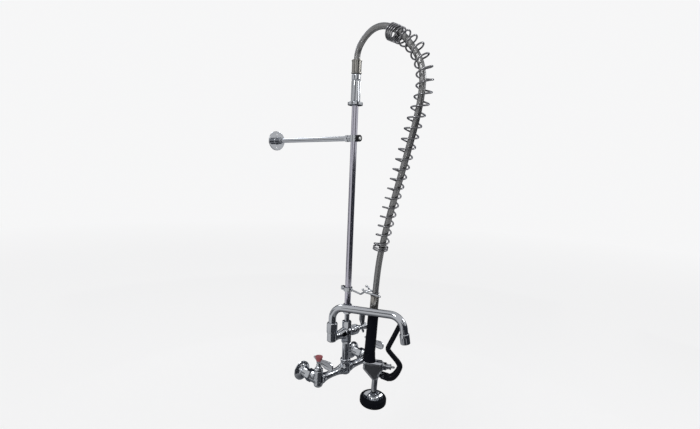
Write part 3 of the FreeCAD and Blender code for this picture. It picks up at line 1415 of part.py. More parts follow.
def aerator(frame):
    """Aerator housing and its insert, on the end of the spout; Z points back up the tube."""
    outer = s.aerator_dia / 2
    socket = s.spout_dia / 2 + s.stem_gap
    bore = s.aerator_bore / 2
    top = s.aerator_socket
    bottom = s.aerator_socket - s.aerator_length
    soft = s.edge_chamfer
    seat = bottom + s.insert_thickness + s.edge_chamfer
    ledge = bore - s.edge_chamfer
    shell = turned("aerator_shell", [
        (socket, ZERO), (socket, top), (outer - soft, top), (outer, top - soft), (outer, bottom + soft),
        (outer - soft, bottom), (bore, bottom), (bore, seat), (ledge, seat), (ledge, ZERO),
    ])
    reach = outer + s.aerator_flute - s.aerator_flute_depth
    ring_of_cuts(shell, "aerator_flutes", AERATOR_FLUTE_COUNT, s.aerator_flute, reach,
                 bottom - s.cut_overrun, s.aerator_length - s.aerator_collar)
    keep("aerator_housing", place(shell, frame=frame))
    rim = bore - s.stem_gap
    insert_bottom = bottom + s.edge_chamfer
    insert_top = insert_bottom + s.insert_thickness - s.stem_gap
    insert = turned("aerator_disc", [
        (ZERO, insert_bottom), (rim, insert_bottom), (rim, insert_top), (ZERO, insert_top),
    ])
    ring_of_cuts(insert, "aerator_holes", INSERT_HOLE_COUNT, s.insert_hole_dia / 2, rim * INSERT_RING_SHARE,
                 insert_bottom - s.cut_overrun, s.insert_thickness + s.cut_overrun * 2)
    keep("aerator_insert", place(insert, frame=frame))


def wall_bracket():
    """Adjustable bracket: a collar on the riser, an arm to the wall, and a thumb knob."""
    inner = s.riser_dia / 2 + s.bracket_collar_gap
    height = s.bracket_collar_height
    at_riser = {"y": -s.stand_off, "z": bracket_level}
    ring = place(rod("bracket_ring", s.bracket_collar_dia, height), z=-height / 2)
    socket = place(rod("bracket_socket", s.socket_dia, s.socket_length), rotation=TO_WALL)
    pad = place(rod("bracket_pad", s.socket_dia, s.knob_start - s.seat_gap), rotation=TO_ROOM)
    hole = rod("bracket_hole", inner * 2, height + s.cut_overrun * 2)
    place(hole, z=-height / 2 - s.cut_overrun)
    arm_hole = place(rod("bracket_arm_hole", s.arm_dia + s.stem_gap * 2, s.socket_length), y=s.arm_start,
                     rotation=TO_WALL)
    tap = place(rod("bracket_tap", s.knob_screw_dia + s.stem_gap * 2, s.knob_start), rotation=TO_ROOM)
    solid = fuse("bracket_collar_solid", ring, socket, pad)
    keep("bracket_collar", place(cut("bracket_collar_piece", solid, hole, arm_hole, tap), **at_riser))
    nut_bottom = s.socket_length + s.seat_gap
    arm_fit = s.arm_dia / 2 + s.stem_gap
    nut = hexagon("bracket_nut_hexagon", s.bracket_nut_flats, nut_bottom, s.bracket_nut_length, [
        (arm_fit, nut_bottom), (arm_fit, nut_bottom + s.bracket_nut_length),
    ])
    keep("bracket_nut", place(nut, rotation=TO_WALL, **at_riser))
    boss_start = s.bracket_reach - s.wall_boss_length
    arm_end = boss_start + s.arm_insert
    arm = turned("bracket_tube", [
        (s.arm_bore / 2, s.arm_start), (s.arm_dia / 2, s.arm_start), (s.arm_dia / 2, arm_end),
        (s.arm_bore / 2, arm_end),
    ])
    keep("bracket_arm", place(arm, rotation=TO_WALL, **at_riser))
    boss = s.wall_boss_dia / 2
    rim = s.wall_flange_dia / 2
    plate = s.bracket_reach - s.wall_flange_thickness
    soft = s.edge_chamfer
    flange = turned("wall_flange", [
        (arm_fit, boss_start), (boss - soft, boss_start), (boss, boss_start + soft), (boss, plate - soft * 2),
        (boss + soft * 2, plate, soft * 2, 1), (rim - soft, plate), (rim, plate + soft, soft, -1),
        (rim, s.bracket_reach), (ZERO, s.bracket_reach), (ZERO, arm_end), (arm_fit, arm_end),
    ])
    ring_of_cuts(flange, "wall_flange_holes", 2, s.wall_screw_hole / 2, s.wall_screw_spacing / 2,
                 plate - s.cut_overrun, s.wall_flange_thickness + s.cut_overrun * 2)
    upright = TO_WALL.multiply(FreeCAD.Rotation(Z_AXIS, 90))
    keep("bracket_flange", place(flange, rotation=upright, **at_riser))
    knob = s.knob_dia / 2
    knob_end = s.knob_start + s.knob_length
    bore = s.knob_screw_dia / 2
    grip = turned("knob_turning", [
        (bore, s.knob_start), (knob - soft, s.knob_start), (knob, s.knob_start + soft),
        (knob, knob_end - soft), (knob - soft, knob_end, soft, 1), (bore, knob_end),
    ])
    reach = knob + s.knob_flute - s.knob_flute_depth
    ring_of_cuts(grip, "knob_flutes", KNOB_FLUTE_COUNT, s.knob_flute, reach,
                 s.knob_start + soft, s.knob_length - soft * 2)
    keep("bracket_knob", place(grip, rotation=TO_ROOM, **at_riser))
    cap = s.knob_cap_dia / 2
    tip = s.riser_dia / 2 + s.stem_gap
    cap_end = knob_end + s.knob_cap
    screw = turned("knob_screw_turning", [
        (ZERO, tip), (bore, tip), (bore, knob_end), (cap, knob_end), (cap - s.knob_cap / 2, cap_end),
        (ZERO, cap_end),
    ])
    keep("knob_screw", place(screw, rotation=TO_ROOM, **at_riser))


def grip():
    """The handset's inner tube, its rubber grip and the skirt at the grip's foot."""
    bore = s.ferrule_bore / 2
    tube = s.tube_dia / 2
    tube_piece = turned("handle_tube_turning", [
        (bore, ZERO), (tube, ZERO), (tube, s.lower_ferrule_bottom), (bore, s.lower_ferrule_bottom),
    ])
    keep("handle_tube", place(tube_piece, frame=HANDSET))
    low = s.grip_dia / 2
    high = s.grip_top_dia / 2
    soft = s.grip_round
    sleeve = turned("grip_sleeve", [
        (tube, s.skirt_height), (low, s.skirt_height), (high, s.grip_top - soft),
        (high - soft, s.grip_top, soft, 1), (tube, s.grip_top),
    ])
    keep("grip", place(sleeve, frame=HANDSET))
    skirt = turned("grip_skirt_turning", [
        (tube, ZERO), (s.skirt_dia / 2 - s.edge_chamfer, ZERO), (s.skirt_dia / 2, s.edge_chamfer),
        (s.skirt_dia / 2, s.skirt_foot), (s.skirt_top_dia / 2, s.skirt_height), (tube, s.skirt_height),
    ])
    keep("grip_skirt", place(skirt, frame=HANDSET))


def spray_valve():
    """Shield-shaped valve body with its bonnet, plunger, return spring and pivot screw."""
    top = -s.seat_gap
    foot_left = s.stem_forward - s.valve_foot_half
    foot_right = s.stem_forward + s.valve_foot_half
    shield = slab("valve_shield", "XZ_Plane", [
        (-s.valve_back, top), (-s.valve_back, -s.valve_back_depth), (foot_left, -s.valve_foot),
        (foot_right, -s.valve_foot), (s.valve_cheek, -s.valve_cheek_depth),
        (s.valve_nose, -s.valve_nose_depth), (s.valve_front, top),
    ], s.valve_thickness)
    round_sides(shield, s.valve_thickness / 2, s.valve_round)
    level = -s.barrel_level
    barrel = place(rod("valve_barrel", s.barrel_dia, s.barrel_end), z=level, rotation=ALONG_X)
    lug = rod("pivot_lug", s.lug_radius * 2, s.lug_half * 2)
    place(lug, x=s.pivot_forward, y=s.lug_half, z=-s.pivot_depth, rotation=TO_ROOM)
    web_length = s.pivot_forward - s.valve_cheek + s.lug_radius
    web = block("lug_web", web_length, s.lug_half * 2, s.lug_radius * 2)
    place(web, x=s.pivot_forward - web_length, y=-s.lug_half, z=-s.pivot_depth - s.lug_radius)
    socket_depth = s.spray_spigot + s.seat_gap + s.cut_overrun
    socket = rod("stem_socket", s.spray_spigot_dia + s.stem_gap * 2, socket_depth)
    place(socket, x=s.stem_forward, z=-s.valve_foot - s.cut_overrun)
    cavity = place(rod("valve_cavity", s.barrel_bore, s.barrel_end - s.barrel_back + s.cut_overrun),
                   x=s.barrel_back, z=level, rotation=ALONG_X)
    inlet = place(rod("valve_inlet", s.ferrule_bore, s.barrel_level + s.cut_overrun), z=level)
    link = rod("valve_link", s.ferrule_bore, s.barrel_back + s.cut_overrun)
    place(link, z=level, rotation=ALONG_X)
    outlet = rod("valve_outlet", s.spray_stem_bore, s.valve_foot - s.barrel_level)
    place(outlet, x=s.stem_forward, z=-s.valve_foot)
    pin_hole = rod("pivot_hole", s.pivot_dia + s.pivot_gap * 2, s.lug_half * 4)
    place(pin_hole, x=s.pivot_forward, y=s.lug_half * 2, z=-s.pivot_depth, rotation=TO_ROOM)
    solid = fuse("valve_solid", shield, barrel, lug, web)
    body = cut("valve_casting", solid, socket, cavity, inlet, link, outlet, pin_hole)
    keep("spray_valve_body", place(body, frame=HANDSET))
    at_barrel = {"z": level, "rotation": ALONG_X, "frame": HANDSET}
    seat = s.barrel_end
    bore = s.plunger_dia / 2 + s.plunger_gap
    hex_part = hexagon("cap_hexagon", s.cap_hex_flats, seat, s.cap_hex_length, [
        (bore, seat), (bore, seat + s.cap_hex_length),
    ])
    nose_start = seat + s.cap_hex_length
    wide = s.cap_dia / 2
    waist = s.cap_waist_dia / 2
    soft = s.edge_chamfer
    nose = turned("cap_nose", [
        (bore, nose_start), (wide, nose_start), (wide, nose_start + s.cap_ring),
        (waist, nose_start + s.cap_ring + soft), (waist, s.cap_end - s.cap_ring - soft),
        (wide, s.cap_end - s.cap_ring), (wide, s.cap_end - soft), (wide - soft, s.cap_end), (bore, s.cap_end),
    ])
    keep("valve_bonnet", place(fuse("valve_bonnet_piece", hex_part, nose), **at_barrel))
    pin = s.plunger_dia / 2
    disc = s.plunger_disc_dia / 2
    disc_end = s.plunger_disc_from + s.plunger_disc
    rod_piece = turned("plunger_turning", [
        (ZERO, s.plunger_disc_from), (disc, s.plunger_disc_from), (disc, disc_end), (pin, disc_end),
        (pin, s.plunger_tip - pin), (ZERO, s.plunger_tip, pin, 1),
    ])
    keep("plunger", place(rod_piece, **at_barrel))
    room = s.plunger_disc_from - s.barrel_back - s.seat_gap * 2
    spring = straight_coil("plunger_spring_wire", RETURN_TURNS, room, s.return_dia, s.return_wire)
    keep("plunger_spring", place(spring, x=s.barrel_back + s.seat_gap, **at_barrel))
    shank = s.pivot_dia / 2
    head = s.pivot_head_dia / 2
    reach = s.eye_half + s.seat_gap
    top = reach + s.pivot_head
    screw = turned("pivot_screw_turning", [
        (ZERO, -reach), (shank, -reach), (shank, reach), (head, reach), (head - soft, top), (ZERO, top),
    ])
    place(screw, x=s.pivot_forward, z=-s.pivot_depth, rotation=TO_ROOM, frame=HANDSET)
    keep("pivot_screw", screw)


def round_sides(body, half_thickness, radius):
    """Rounds the outlines of the two flat sides of a slab made on the XZ plane."""
    doc.recompute()
    pad = body.Tip
    rounding = body.newObject("PartDesign::Fillet", body.Name + "_rounding")
    rounding.Base = (pad, outline_edges(pad.Shape, half_thickness.value))
    rounding.setExpression("Radius", radius.text)
    body.Tip = rounding


def outline_edges(shape, level):
    """Names of the edges that lie on the two flat sides of a slab made on the XZ plane."""
    return [
        f"Edge{index}" for index, edge in enumerate(shape.Edges, 1)
        if all(math.isclose(abs(vertex.Point.y), level, abs_tol=0.001) for vertex in edge.Vertexes)
        and math.isclose(edge.Vertexes[0].Point.y, edge.Vertexes[-1].Point.y, abs_tol=0.001)
    ]


def spray_head():
    """Stem, dished chrome cup, perforated plate and rubber bumper, about the stem's axis."""
    here = {"x": s.stem_forward, "frame": HANDSET}
    bore = s.spray_stem_bore / 2
    stem = s.spray_stem_dia / 2
    spigot = s.spray_spigot_dia / 2
    foot = -s.valve_foot
    end = -s.spray_stem_end
    stem_piece = turned("spray_stem_turning", [
        (bore, end), (stem, end), (stem, foot), (spigot, foot), (spigot, foot + s.spray_spigot),
        (bore, foot + s.spray_spigot),
    ])
    keep("spray_stem", place(stem_piece, **here))
    boss = s.cup_boss_dia / 2
    dish = s.cup_dish_dia / 2
    rim = s.cup_rim_dia / 2
    floor = -s.cup_dish_depth - s.cup_wall
    cup = turned("spray_cup_turning", [
        (bore, end), (bore, floor), (rim - s.cup_wall, floor), (rim - s.cup_wall, -s.cup_skirt_end),
        (rim, -s.cup_skirt_end), (rim, -s.cup_rim_level), (rim - s.cup_rim_wall, -s.cup_rim_level),
        (dish, -s.cup_dish_depth), (boss, -s.cup_boss_end, s.cup_dish_radius, 1), (boss, end),
    ])
    keep("spray_cup", place(cup, **here))
    inner = rim + s.bumper_fit
    lip_top = -s.cup_skirt_end - s.plate_thickness - s.bumper_fit
    lip = rim - s.bumper_lip
    outer = s.bumper_dia / 2
    soft = s.bumper_round
    bumper = turned("bumper_turning", [
        (inner, lip_top), (inner, -s.cup_rim_level), (outer - soft, -s.bumper_top),
        (outer, -s.bumper_top - soft, soft, -1), (outer, -s.bumper_bottom + soft),
        (outer - soft, -s.bumper_bottom, soft, -1), (lip, -s.bumper_bottom), (lip, lip_top),
    ])
    keep("bumper_ring", place(bumper, **here))
    plate = rim - s.bumper_fit
    face = lip - s.bumper_fit
    plate_top = -s.cup_skirt_end
    plate_bottom = plate_top - s.plate_thickness
    face_bottom = plate_bottom - s.plate_face
    shower = turned("spray_plate_turning", [
        (ZERO, plate_top), (ZERO, face_bottom), (face - s.plate_face, face_bottom),
        (face, plate_bottom), (plate, plate_bottom), (plate, plate_top),
    ])
    drilled = s.plate_thickness + s.plate_face + s.cut_overrun * 2
    for ring, (count, share) in enumerate(zip(SPRAY_HOLE_COUNTS, SPRAY_RING_SHARES)):
        ring_of_cuts(shower, f"spray_holes_{ring}", count, s.spray_hole_dia / 2, face * share,
                     face_bottom - s.cut_overrun, drilled)
    keep("spray_plate", place(shower, **here))


def trigger():
    """The bent lever: a thick forked foot on the pivot screw and a round rod shaped to the hand."""
    eye_z = -s.pivot_depth
    foot_z = -s.foot_depth
    foot = slab("trigger_foot", "XZ_Plane", [
        (s.pivot_forward, eye_z + s.eye_radius), (s.pivot_forward - s.eye_radius, eye_z, s.eye_radius, 1),
        (s.pivot_forward, eye_z - s.eye_radius, s.eye_radius, 1), (s.foot_forward, foot_z - s.foot_radius),
        (s.foot_forward + s.foot_radius, foot_z, s.foot_radius, 1),
        (s.foot_forward, foot_z + s.foot_radius, s.foot_radius, 1),
    ], s.eye_half * 2)
    round_sides(foot, s.eye_half, s.foot_round)
    bar = bent_rod("trigger_bar", s.trigger_dia, rounded_corners([
        (s.pivot_forward, eye_z), (s.trigger_heel_forward, -s.trigger_heel_depth),
        (s.trigger_elbow_forward, -s.trigger_elbow_depth), (s.trigger_knee_forward, s.trigger_knee_rise),
        (s.trigger_end_forward, s.trigger_end_rise),
    ], s.trigger_bend))
    tip = place(ball("trigger_tip", s.trigger_dia), x=s.trigger_end_forward, z=s.trigger_end_rise)
    slot_reach = s.lug_radius + s.edge_chamfer * 2
    slot = block("trigger_slot", s.eye_radius * 2 + slot_reach, s.eye_slot_half * 2, s.eye_radius * 4)
    place(slot, x=s.pivot_forward - s.eye_radius * 2, y=-s.eye_slot_half, z=eye_z - s.eye_radius * 2)
    hole = rod("trigger_hole", s.pivot_dia + s.pivot_gap * 2, s.eye_half * 4)
    place(hole, x=s.pivot_forward, y=s.eye_half * 2, z=eye_z, rotation=TO_ROOM)
    lever = cut("trigger_piece", fuse("trigger_solid", foot, bar, tip), slot, hole)
    keep("trigger_lever", place(lever, frame=HANDSET))


inlets()
mixing_body()
lower_riser()
addon_body()
riser()
riser_head()
hose_ends()
overhead_spring(hose())
hook()
for name in VALVES:
    valve(name)
spout()
wall_bracket()
grip()
spray_valve()
spray_head()
trigger()

doc.recompute()
failed = [item.Name for item in doc.Objects if "Invalid" in item.State or "Error" in item.State]
for node, item in parts.items():
    if item.Shape.isNull() or not item.Shape.isValid() or not item.Shape.Solids:
        failed.append(node)
if failed:
    raise RuntimeError("these objects failed: " + ", ".join(failed))

os.makedirs("parts", exist_ok=True)
for node, item in parts.items():
    item.Shape.exportStep(f"parts/{node}.step")
print(len(parts), "sub-parts written")
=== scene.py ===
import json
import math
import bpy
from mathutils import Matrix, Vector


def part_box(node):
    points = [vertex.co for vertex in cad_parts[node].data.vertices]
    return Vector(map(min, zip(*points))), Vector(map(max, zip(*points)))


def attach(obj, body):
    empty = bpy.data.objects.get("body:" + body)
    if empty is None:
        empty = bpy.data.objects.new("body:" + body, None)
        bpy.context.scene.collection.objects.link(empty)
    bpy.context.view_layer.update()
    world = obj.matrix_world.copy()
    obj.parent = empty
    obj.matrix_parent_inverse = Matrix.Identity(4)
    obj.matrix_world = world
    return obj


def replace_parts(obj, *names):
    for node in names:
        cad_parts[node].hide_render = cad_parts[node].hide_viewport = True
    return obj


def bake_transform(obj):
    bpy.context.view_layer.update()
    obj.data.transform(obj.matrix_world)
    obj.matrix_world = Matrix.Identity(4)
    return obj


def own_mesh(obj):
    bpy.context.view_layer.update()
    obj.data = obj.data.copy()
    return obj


bl_info = {
    "name": "Spray faucet looks",
    "version": (1, 0, 0),
    "blender": (4, 5, 0),
    "location": "View3D > Sidebar > Faucet",
    "description": "Builds the hose, spring, levers, handset and finishes of a wall-mounted kitchen faucet",
    "category": "Object",
}

import bmesh
import bpy
from bpy.props import FloatProperty, FloatVectorProperty, IntProperty, PointerProperty
from bpy.types import Operator, Panel, PropertyGroup
from mathutils import Euler, Matrix, Vector

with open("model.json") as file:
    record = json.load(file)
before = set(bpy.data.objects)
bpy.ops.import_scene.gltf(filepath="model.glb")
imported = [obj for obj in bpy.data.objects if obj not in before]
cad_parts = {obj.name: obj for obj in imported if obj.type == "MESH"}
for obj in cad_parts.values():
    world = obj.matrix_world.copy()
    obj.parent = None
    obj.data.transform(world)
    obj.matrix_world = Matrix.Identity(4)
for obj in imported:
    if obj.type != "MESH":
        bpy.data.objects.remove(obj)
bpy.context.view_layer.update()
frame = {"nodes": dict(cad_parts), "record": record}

# The faucet's axes: half the distance of the inlets, the castings' distance from the wall, the add-on's
# height, and the swivel chamber's place beside the riser.
HALF_INLETS = 0.1016
STAND_OFF = 0.0693
ADDON_HEIGHT = 0.104
SWIVEL_SIDE = -0.057
# The hose's route in the plane of the riser: how far toward the room, and the height.
HOSE_ROUTE = [
    (0, 0.856), (0.0062, 0.8755), (0.0185, 0.891), (0.0335, 0.9035), (0.0535, 0.9132), (0.077, 0.9157),
    (0.1025, 0.910), (0.128, 0.8968), (0.152, 0.877), (0.174, 0.8527), (0.1938, 0.827), (0.2074, 0.7988),
    (0.2118, 0.7652), (0.2085, 0.7246), (0.1985, 0.6764), (0.1836, 0.621), (0.1657, 0.5597), (0.1466, 0.4943),
    (0.128, 0.4273), (0.1125, 0.361),
]
# The straight run into the lower ferrule, and the ferrule's end in the handset's frame.
HOSE_LAST_RUN = 0.062
HOSE_END = 0.1817
# Share of the spring's length, and the side of the hose it leans on there.
SPRING_LEAN = [(0, 1.0), (0.17, -0.65), (0.31, -0.70), (0.48, 0.50), (0.62, 0.68), (1, 0.58)]
# The squeeze lever's bar in the handset's frame: forward, radius and height.
LEVER_BENDS = [
    (0.0500, 0.0086, -0.0412), (0.057, 0.0098, -0.0430), (0.067, 0.0098, -0.0395), (0.076, 0.0088, -0.0280),
    (0.0815, 0.0078, -0.0160), (0.0840, 0.0077, -0.0055), (0.0775, 0.0072, 0.0050), (0.066, 0.0068, 0.0165),
    (0.054, 0.0067, 0.0285), (0.0462, 0.0067, 0.0375), (0.0500, 0.0067, 0.0490), (0.060, 0.0067, 0.0745),
    (0.070, 0.0067, 0.1020), (0.0715, 0.0066, 0.1060), (0.0727, 0.0058, 0.1092), (0.0737, 0.0030, 0.1118),
]
# The overhead spring's least distance from the hose.
SPRING_GAP = 0.0003
# Radius of the passage through the castings' blends, and through the grip and its skirt.
CASTING_BORE = 0.0058
GRIP_BORE = 0.0072
# Where the camera stands, its turn, pitch and roll in degrees, the width of its frame in mm, and how far it sees.
CAMERA_PLACE = (-0.8257, -0.8546, 0.5584)
CAMERA_ANGLES = (-46.3, 6.1, 2.2)
SENSOR_WIDTH = 36
FARTHEST_SEEN = 60
# The floor, and the dark card under the faucet, seen only in the metal as a painted dark reflection on the
# undersides, with its height above the floor.
FLOOR_RADIUS = 14
TABLE_RADIUS = 1.35
TABLE_LIFT = 0.004
# Studio flags, dark cards seen only in the metal as painted dark reflections: name, first and last direction in
# degrees from +X, low and high edge, distance, paleness.
FLAGS = [
    ("flag_front", -150, -8, -0.44, 0.66, 2.6, 0),
    ("flag_low", -156, -30, -0.44, 0.02, 0.74, 0.05),
    ("flag_back", 4, 92, -0.44, 2.0, 2.8, 0),
    ("flag_left", 118, 150, -0.44, 0.5, 2.7, 0.25),
    ("strip_right", -112, -88, 0.66, 2.2, 2.6, 0),
    ("strip_left", -196, -172, 0.66, 2.2, 2.6, 0.2),
]
# Strength of the light from all round, and the point that the lamps face.
WORLD_LIGHT = 0.62
LAMP_TARGET = Vector((0, -0.1, 0.4))
# Lamps: name, place, size and power.
LAMPS = [
    ("key", (-2.4, -0.6, 2.3), 0.7, 26),
    ("fill", (1.9, -1.6, 1.6), 0.6, 14),
    ("rim", (0.6, 2.3, 2.2), 0.8, 18),
]
# Colours of the hose's ferrules, of the black plastic and of the washers and seals.
HOSE_ENDS = (0.30, 0.29, 0.27)
BLACK_PLASTIC = (0.006, 0.006, 0.008)
SEAL_RUBBER = (0.02, 0.02, 0.02)
# The handset's own frame: where its skirt starts, its lean off the vertical and its turn in degrees.
HANDSET_FOOT = (0, -0.1563, 0.053)
HANDSET_LEAN = 3.58
HANDSET_TURN = -52
HANDSET = (
    Matrix.Translation(HANDSET_FOOT)
    @ Euler((math.radians(HANDSET_LEAN), 0, 0)).to_matrix().to_4x4()
    @ Matrix.Rotation(math.radians(HANDSET_TURN), 4, "Z")
)
# Frames with the spindle of each valve along Z.
ADDON_AXES = Matrix(((0, 0, 1), (-1, 0, 0), (0, -1, 0))).to_4x4()
VALVES = {
    "hot": Matrix.Translation((-HALF_INLETS, -STAND_OFF, 0)),
    "cold": Matrix.Translation((HALF_INLETS, -STAND_OFF, 0)),
    "addon": Matrix.Translation((0.014, -STAND_OFF, ADDON_HEIGHT)) @ ADDON_AXES,
}


# ---- sizes and colours a user would change ----


def length(name, description, default):
    return FloatProperty(name=name, description=description, default=default, unit="LENGTH", precision=5)


def colour(name, description, default):
    return FloatVectorProperty(name=name, description=description, default=default, subtype="COLOR", size=3,
                               min=0, max=1)


class StageSizes(PropertyGroup):
    lens: FloatProperty(name="Lens", description="Focal length on a 36 mm wide frame", default=21.615, min=5)
    floor: length("Floor level", "Height of the floor under the faucet", -0.45)
    floor_colour: colour("Floor colour", "Colour of the floor", (0.90, 0.90, 0.905))
    backdrop: colour("Backdrop colour", "Colour seen behind the faucet", (0.925, 0.925, 0.93))
    # Painted dark reflections: the flags are seen only in the metal, never lit or casting shade.
    flags: colour("Flag colour", "Colour of the studio flags that the metal mirrors", (0.030, 0.034, 0.046))
    # Painted dark reflection: the card under the faucet is seen only in the metal, darkening the undersides.
    table: colour("Table colour", "Colour of the dark card under the faucet", (0.10, 0.105, 0.12))


class HoseSizes(PropertyGroup):
    diameter: length("Diameter", "Outer diameter of the braided hose", 0.016)
    strands: IntProperty(name="Strands", description="Strands round the hose, each way", default=24, min=4)
    pitch: length("Braid pitch", "Length of hose in one braid diamond", 0.0052)
    metal: colour("Metal colour", "Colour of the braid", (0.235, 0.235, 0.235))


class SpringSizes(PropertyGroup):
    wire: length("Wire", "Diameter of the spring's wire", 0.0042)
    top: length("Top diameter", "Outer diameter of the turns on the arch", 0.043)
    bottom: length("Bottom diameter", "Outer diameter of the lowest turn", 0.0395)
    start: length("Start", "Length of hose above the first turn", 0.153)
    end: length("End", "Length of hose above the last turn", 0.7536)
    slack_end: length("Slack end", "Height where the spring would follow a pull on the hose in full", 0.256)
    metal: colour("Metal colour", "Colour of the wire", (0.21, 0.21, 0.22))


class LeverSizes(PropertyGroup):
    reach: length("Reach", "From the spindle's axis to the lever's tip", 0.054)
    thickness: length("Thickness", "Thickness of the blade", 0.0046)
    dish: length("Dish", "Depth of the hollow in each side of the blade", 0.0005)
    hot: colour("Hot index", "Colour of the hot valve's index cap", (0.30, 0.07, 0.08))
    cold: colour("Cold index", "Colour of the cold valve's index cap", (0.05, 0.12, 0.34))


class HandsetSizes(PropertyGroup):
    grip: length("Grip diameter", "Diameter at the foot of the rubber grip", 0.0292)
    grip_top: length("Grip top", "Diameter at the top of the rubber grip", 0.0280)
    skirt: length("Skirt", "Diameter of the skirt at the grip's foot", 0.0350)
    pad: length("Pad height", "How far the pads stand off the valve's two faces", 0.0012)
    rubber: colour("Rubber colour", "Colour of the grip and the bumper", (0.0045, 0.005, 0.008))
    coating: colour("Coating colour", "Colour of the trigger's dipped coating", (0.004, 0.0045, 0.007))


class MetalColours(PropertyGroup):
    chrome: colour("Chrome", "Colour of the plated pieces", (0.42, 0.435, 0.46))
    edge: colour("Edge", "Colour of the plating where it is seen at a slant", (0.30, 0.32, 0.36))
    riser: colour("Riser", "Colour of the upper riser", (0.44, 0.43, 0.49))
    steel: colour("Steel", "Colour of plain steel screws and plates", (0.56, 0.57, 0.57))
    brass: colour("Brass", "Colour of the spindles and inner tubes", (0.60, 0.42, 0.18))


# ---- shader sums ----

# The Mix node's sockets that share a name: its two numbers, its two colours and its colour out.
MIX_NUMBERS = (2, 3)
MIX_COLOURS = (6, 7)
MIX_COLOUR_OUT = 2


class Socket:
    """A shader socket. Sums written with it add their Math nodes."""

    def __init__(self, finish, socket):
        self.finish = finish
        self.socket = socket

    def maths(self, operation, *values):
        return self.finish.node("ShaderNodeMath", {"operation": operation}, dict(enumerate(values)))

    def __add__(self, other):
        return self.maths("ADD", self, other)

    def __sub__(self, other):
        return self.maths("SUBTRACT", self, other)

    def __rsub__(self, other):
        return self.maths("SUBTRACT", other, self)

    def __mul__(self, other):
        return self.maths("MULTIPLY", self, other)

    def __truediv__(self, other):
        return self.maths("DIVIDE", self, other)

    def __gt__(self, other):
        return self.maths("GREATER_THAN", self, other)

    __radd__ = __add__
    __rmul__ = __mul__

    def fraction(self):
        return self.maths("FRACT", self)

    def whole(self):
        return self.maths("FLOOR", self)

    def size(self):
        return self.maths("ABSOLUTE", self)

    def smallest(self, other):
        return self.maths("MINIMUM", self, other)

    def largest(self, other):
        return self.maths("MAXIMUM", self, other)

    def power(self, other):
        return self.maths("POWER", self, other)


class Nodes:
    """The node tree of a material or of the world."""

    def __init__(self, tree):
        self.tree = tree

    def node(self, kind, settings=None, values=None, output=0):
        """Adds a node, sets it up, fills its sockets and returns one output."""
        node = self.tree.nodes.new(kind)
        for name, value in (settings or {}).items():
            setattr(node, name, value)
        for name, value in (values or {}).items():
            self.fill(node.inputs[name], value)
        return Socket(self, node.outputs[output])

    def fill(self, socket, value):
        if isinstance(value, Socket):
            self.tree.links.new(value.socket, socket)
        elif socket.type == "RGBA" and len(value) == 3:
            socket.default_value = (*value, 1)
        else:
            socket.default_value = value

    def seen(self):
        """1 for what the camera sees, straight or in metal or glass, and 0 for what lights the object."""
        rays = [self.node("ShaderNodeLightPath", output=name)
                for name in ("Is Camera Ray", "Is Glossy Ray", "Is Transmission Ray")]
        return rays[0].largest(rays[1]).largest(rays[2])


class Finish(Nodes):
    """One material under construction."""

    def __init__(self, name):
        self.material = bpy.data.materials.new(name)
        self.material.use_nodes = True
        super().__init__(self.material.node_tree)
        self.surface = self.tree.nodes["Principled BSDF"]

    def set(self, **values):
        for name, value in values.items():
            self.fill(self.surface.inputs[name.replace("_", " ")], value)
        return self

    def place(self):
        return self.node("ShaderNodeTexCoord", output="Object")

    def noise(self, scale, detail=4.0, roughness=0.5, place=None):
        """Cloudy values about a half; scale is in blotches per metre."""
        values = {"Vector": place or self.place(), "Scale": scale, "Detail": detail, "Roughness": roughness}
        return self.node("ShaderNodeTexNoise", {"noise_dimensions": "3D"}, values)

    def blend(self, share, low, high):
        """A colour between two, by a share."""
        values = {"Factor": share, MIX_COLOURS[0]: low, MIX_COLOURS[1]: high}
        return self.node("ShaderNodeMix", {"data_type": "RGBA"}, values, output=MIX_COLOUR_OUT)

    def bump(self, height, depth, strength=1.0, under=None):
        values = {"Height": height, "Distance": depth, "Strength": strength}
        if under:
            values["Normal"] = under
        return self.node("ShaderNodeBump", {}, values)

    def metal(self, tint, dull, bump):
        """The finished metal, with the edge colour where it is seen at a slant."""
        edge = bpy.context.scene.faucet_metals.edge
        self.set(Base_Color=tint, Metallic=1.0, Roughness=dull, Normal=bump, Specular_Tint=edge)
        return self.material

    def plain(self, tint, dull, bump, shine):
        """The finished rubber or plastic."""
        self.set(Base_Color=tint, Roughness=dull, Normal=bump, Specular_IOR_Level=shine)
        return self.material


def shade(colour, factor):
    return tuple(min(channel * factor, 1) for channel in colour)


def plated(name, colour, roughness=0.07, ripple=0.00004, lumps=75):
    """Polished plating with water marks and fine scratches; ripple is its waves' depth, lumps their scale."""
    finish = Finish(name)
    marks = finish.noise(140, 6, 0.6)
    fine = finish.noise(1500, 3, 0.6)
    wave = finish.noise(lumps, 2, 0.4)
    dull = (marks - 0.52).largest(0) * 0.35 + fine * 0.03 + (roughness - 0.015)
    tint = finish.blend((marks * 0.8).smallest(1), shade(colour, 1.04), shade(colour, 0.90))
    bump = finish.bump(wave, ripple, 0.7, finish.bump(fine, 0.000004, 0.5))
    return finish.metal(tint, dull, bump)


def brushed(name, colour, roughness, stretch):
    """Drawn or brushed metal: fine lines, closest along the direction with the highest stretch."""
    finish = Finish(name)
    place = finish.node("ShaderNodeMapping", {}, {"Vector": finish.place(), "Scale": stretch})
    lines = finish.noise(2.4, 4, 0.6, place)
    cloud = finish.noise(90, 4, 0.55)
    tint = finish.blend(lines * 0.5 + cloud * 0.4, shade(colour, 1.12), shade(colour, 0.72))
    dull = lines * 0.16 + cloud * 0.08 + (roughness - 0.12)
    bump = finish.bump(lines, 0.00002, 0.6)
    return finish.metal(tint, dull, bump)


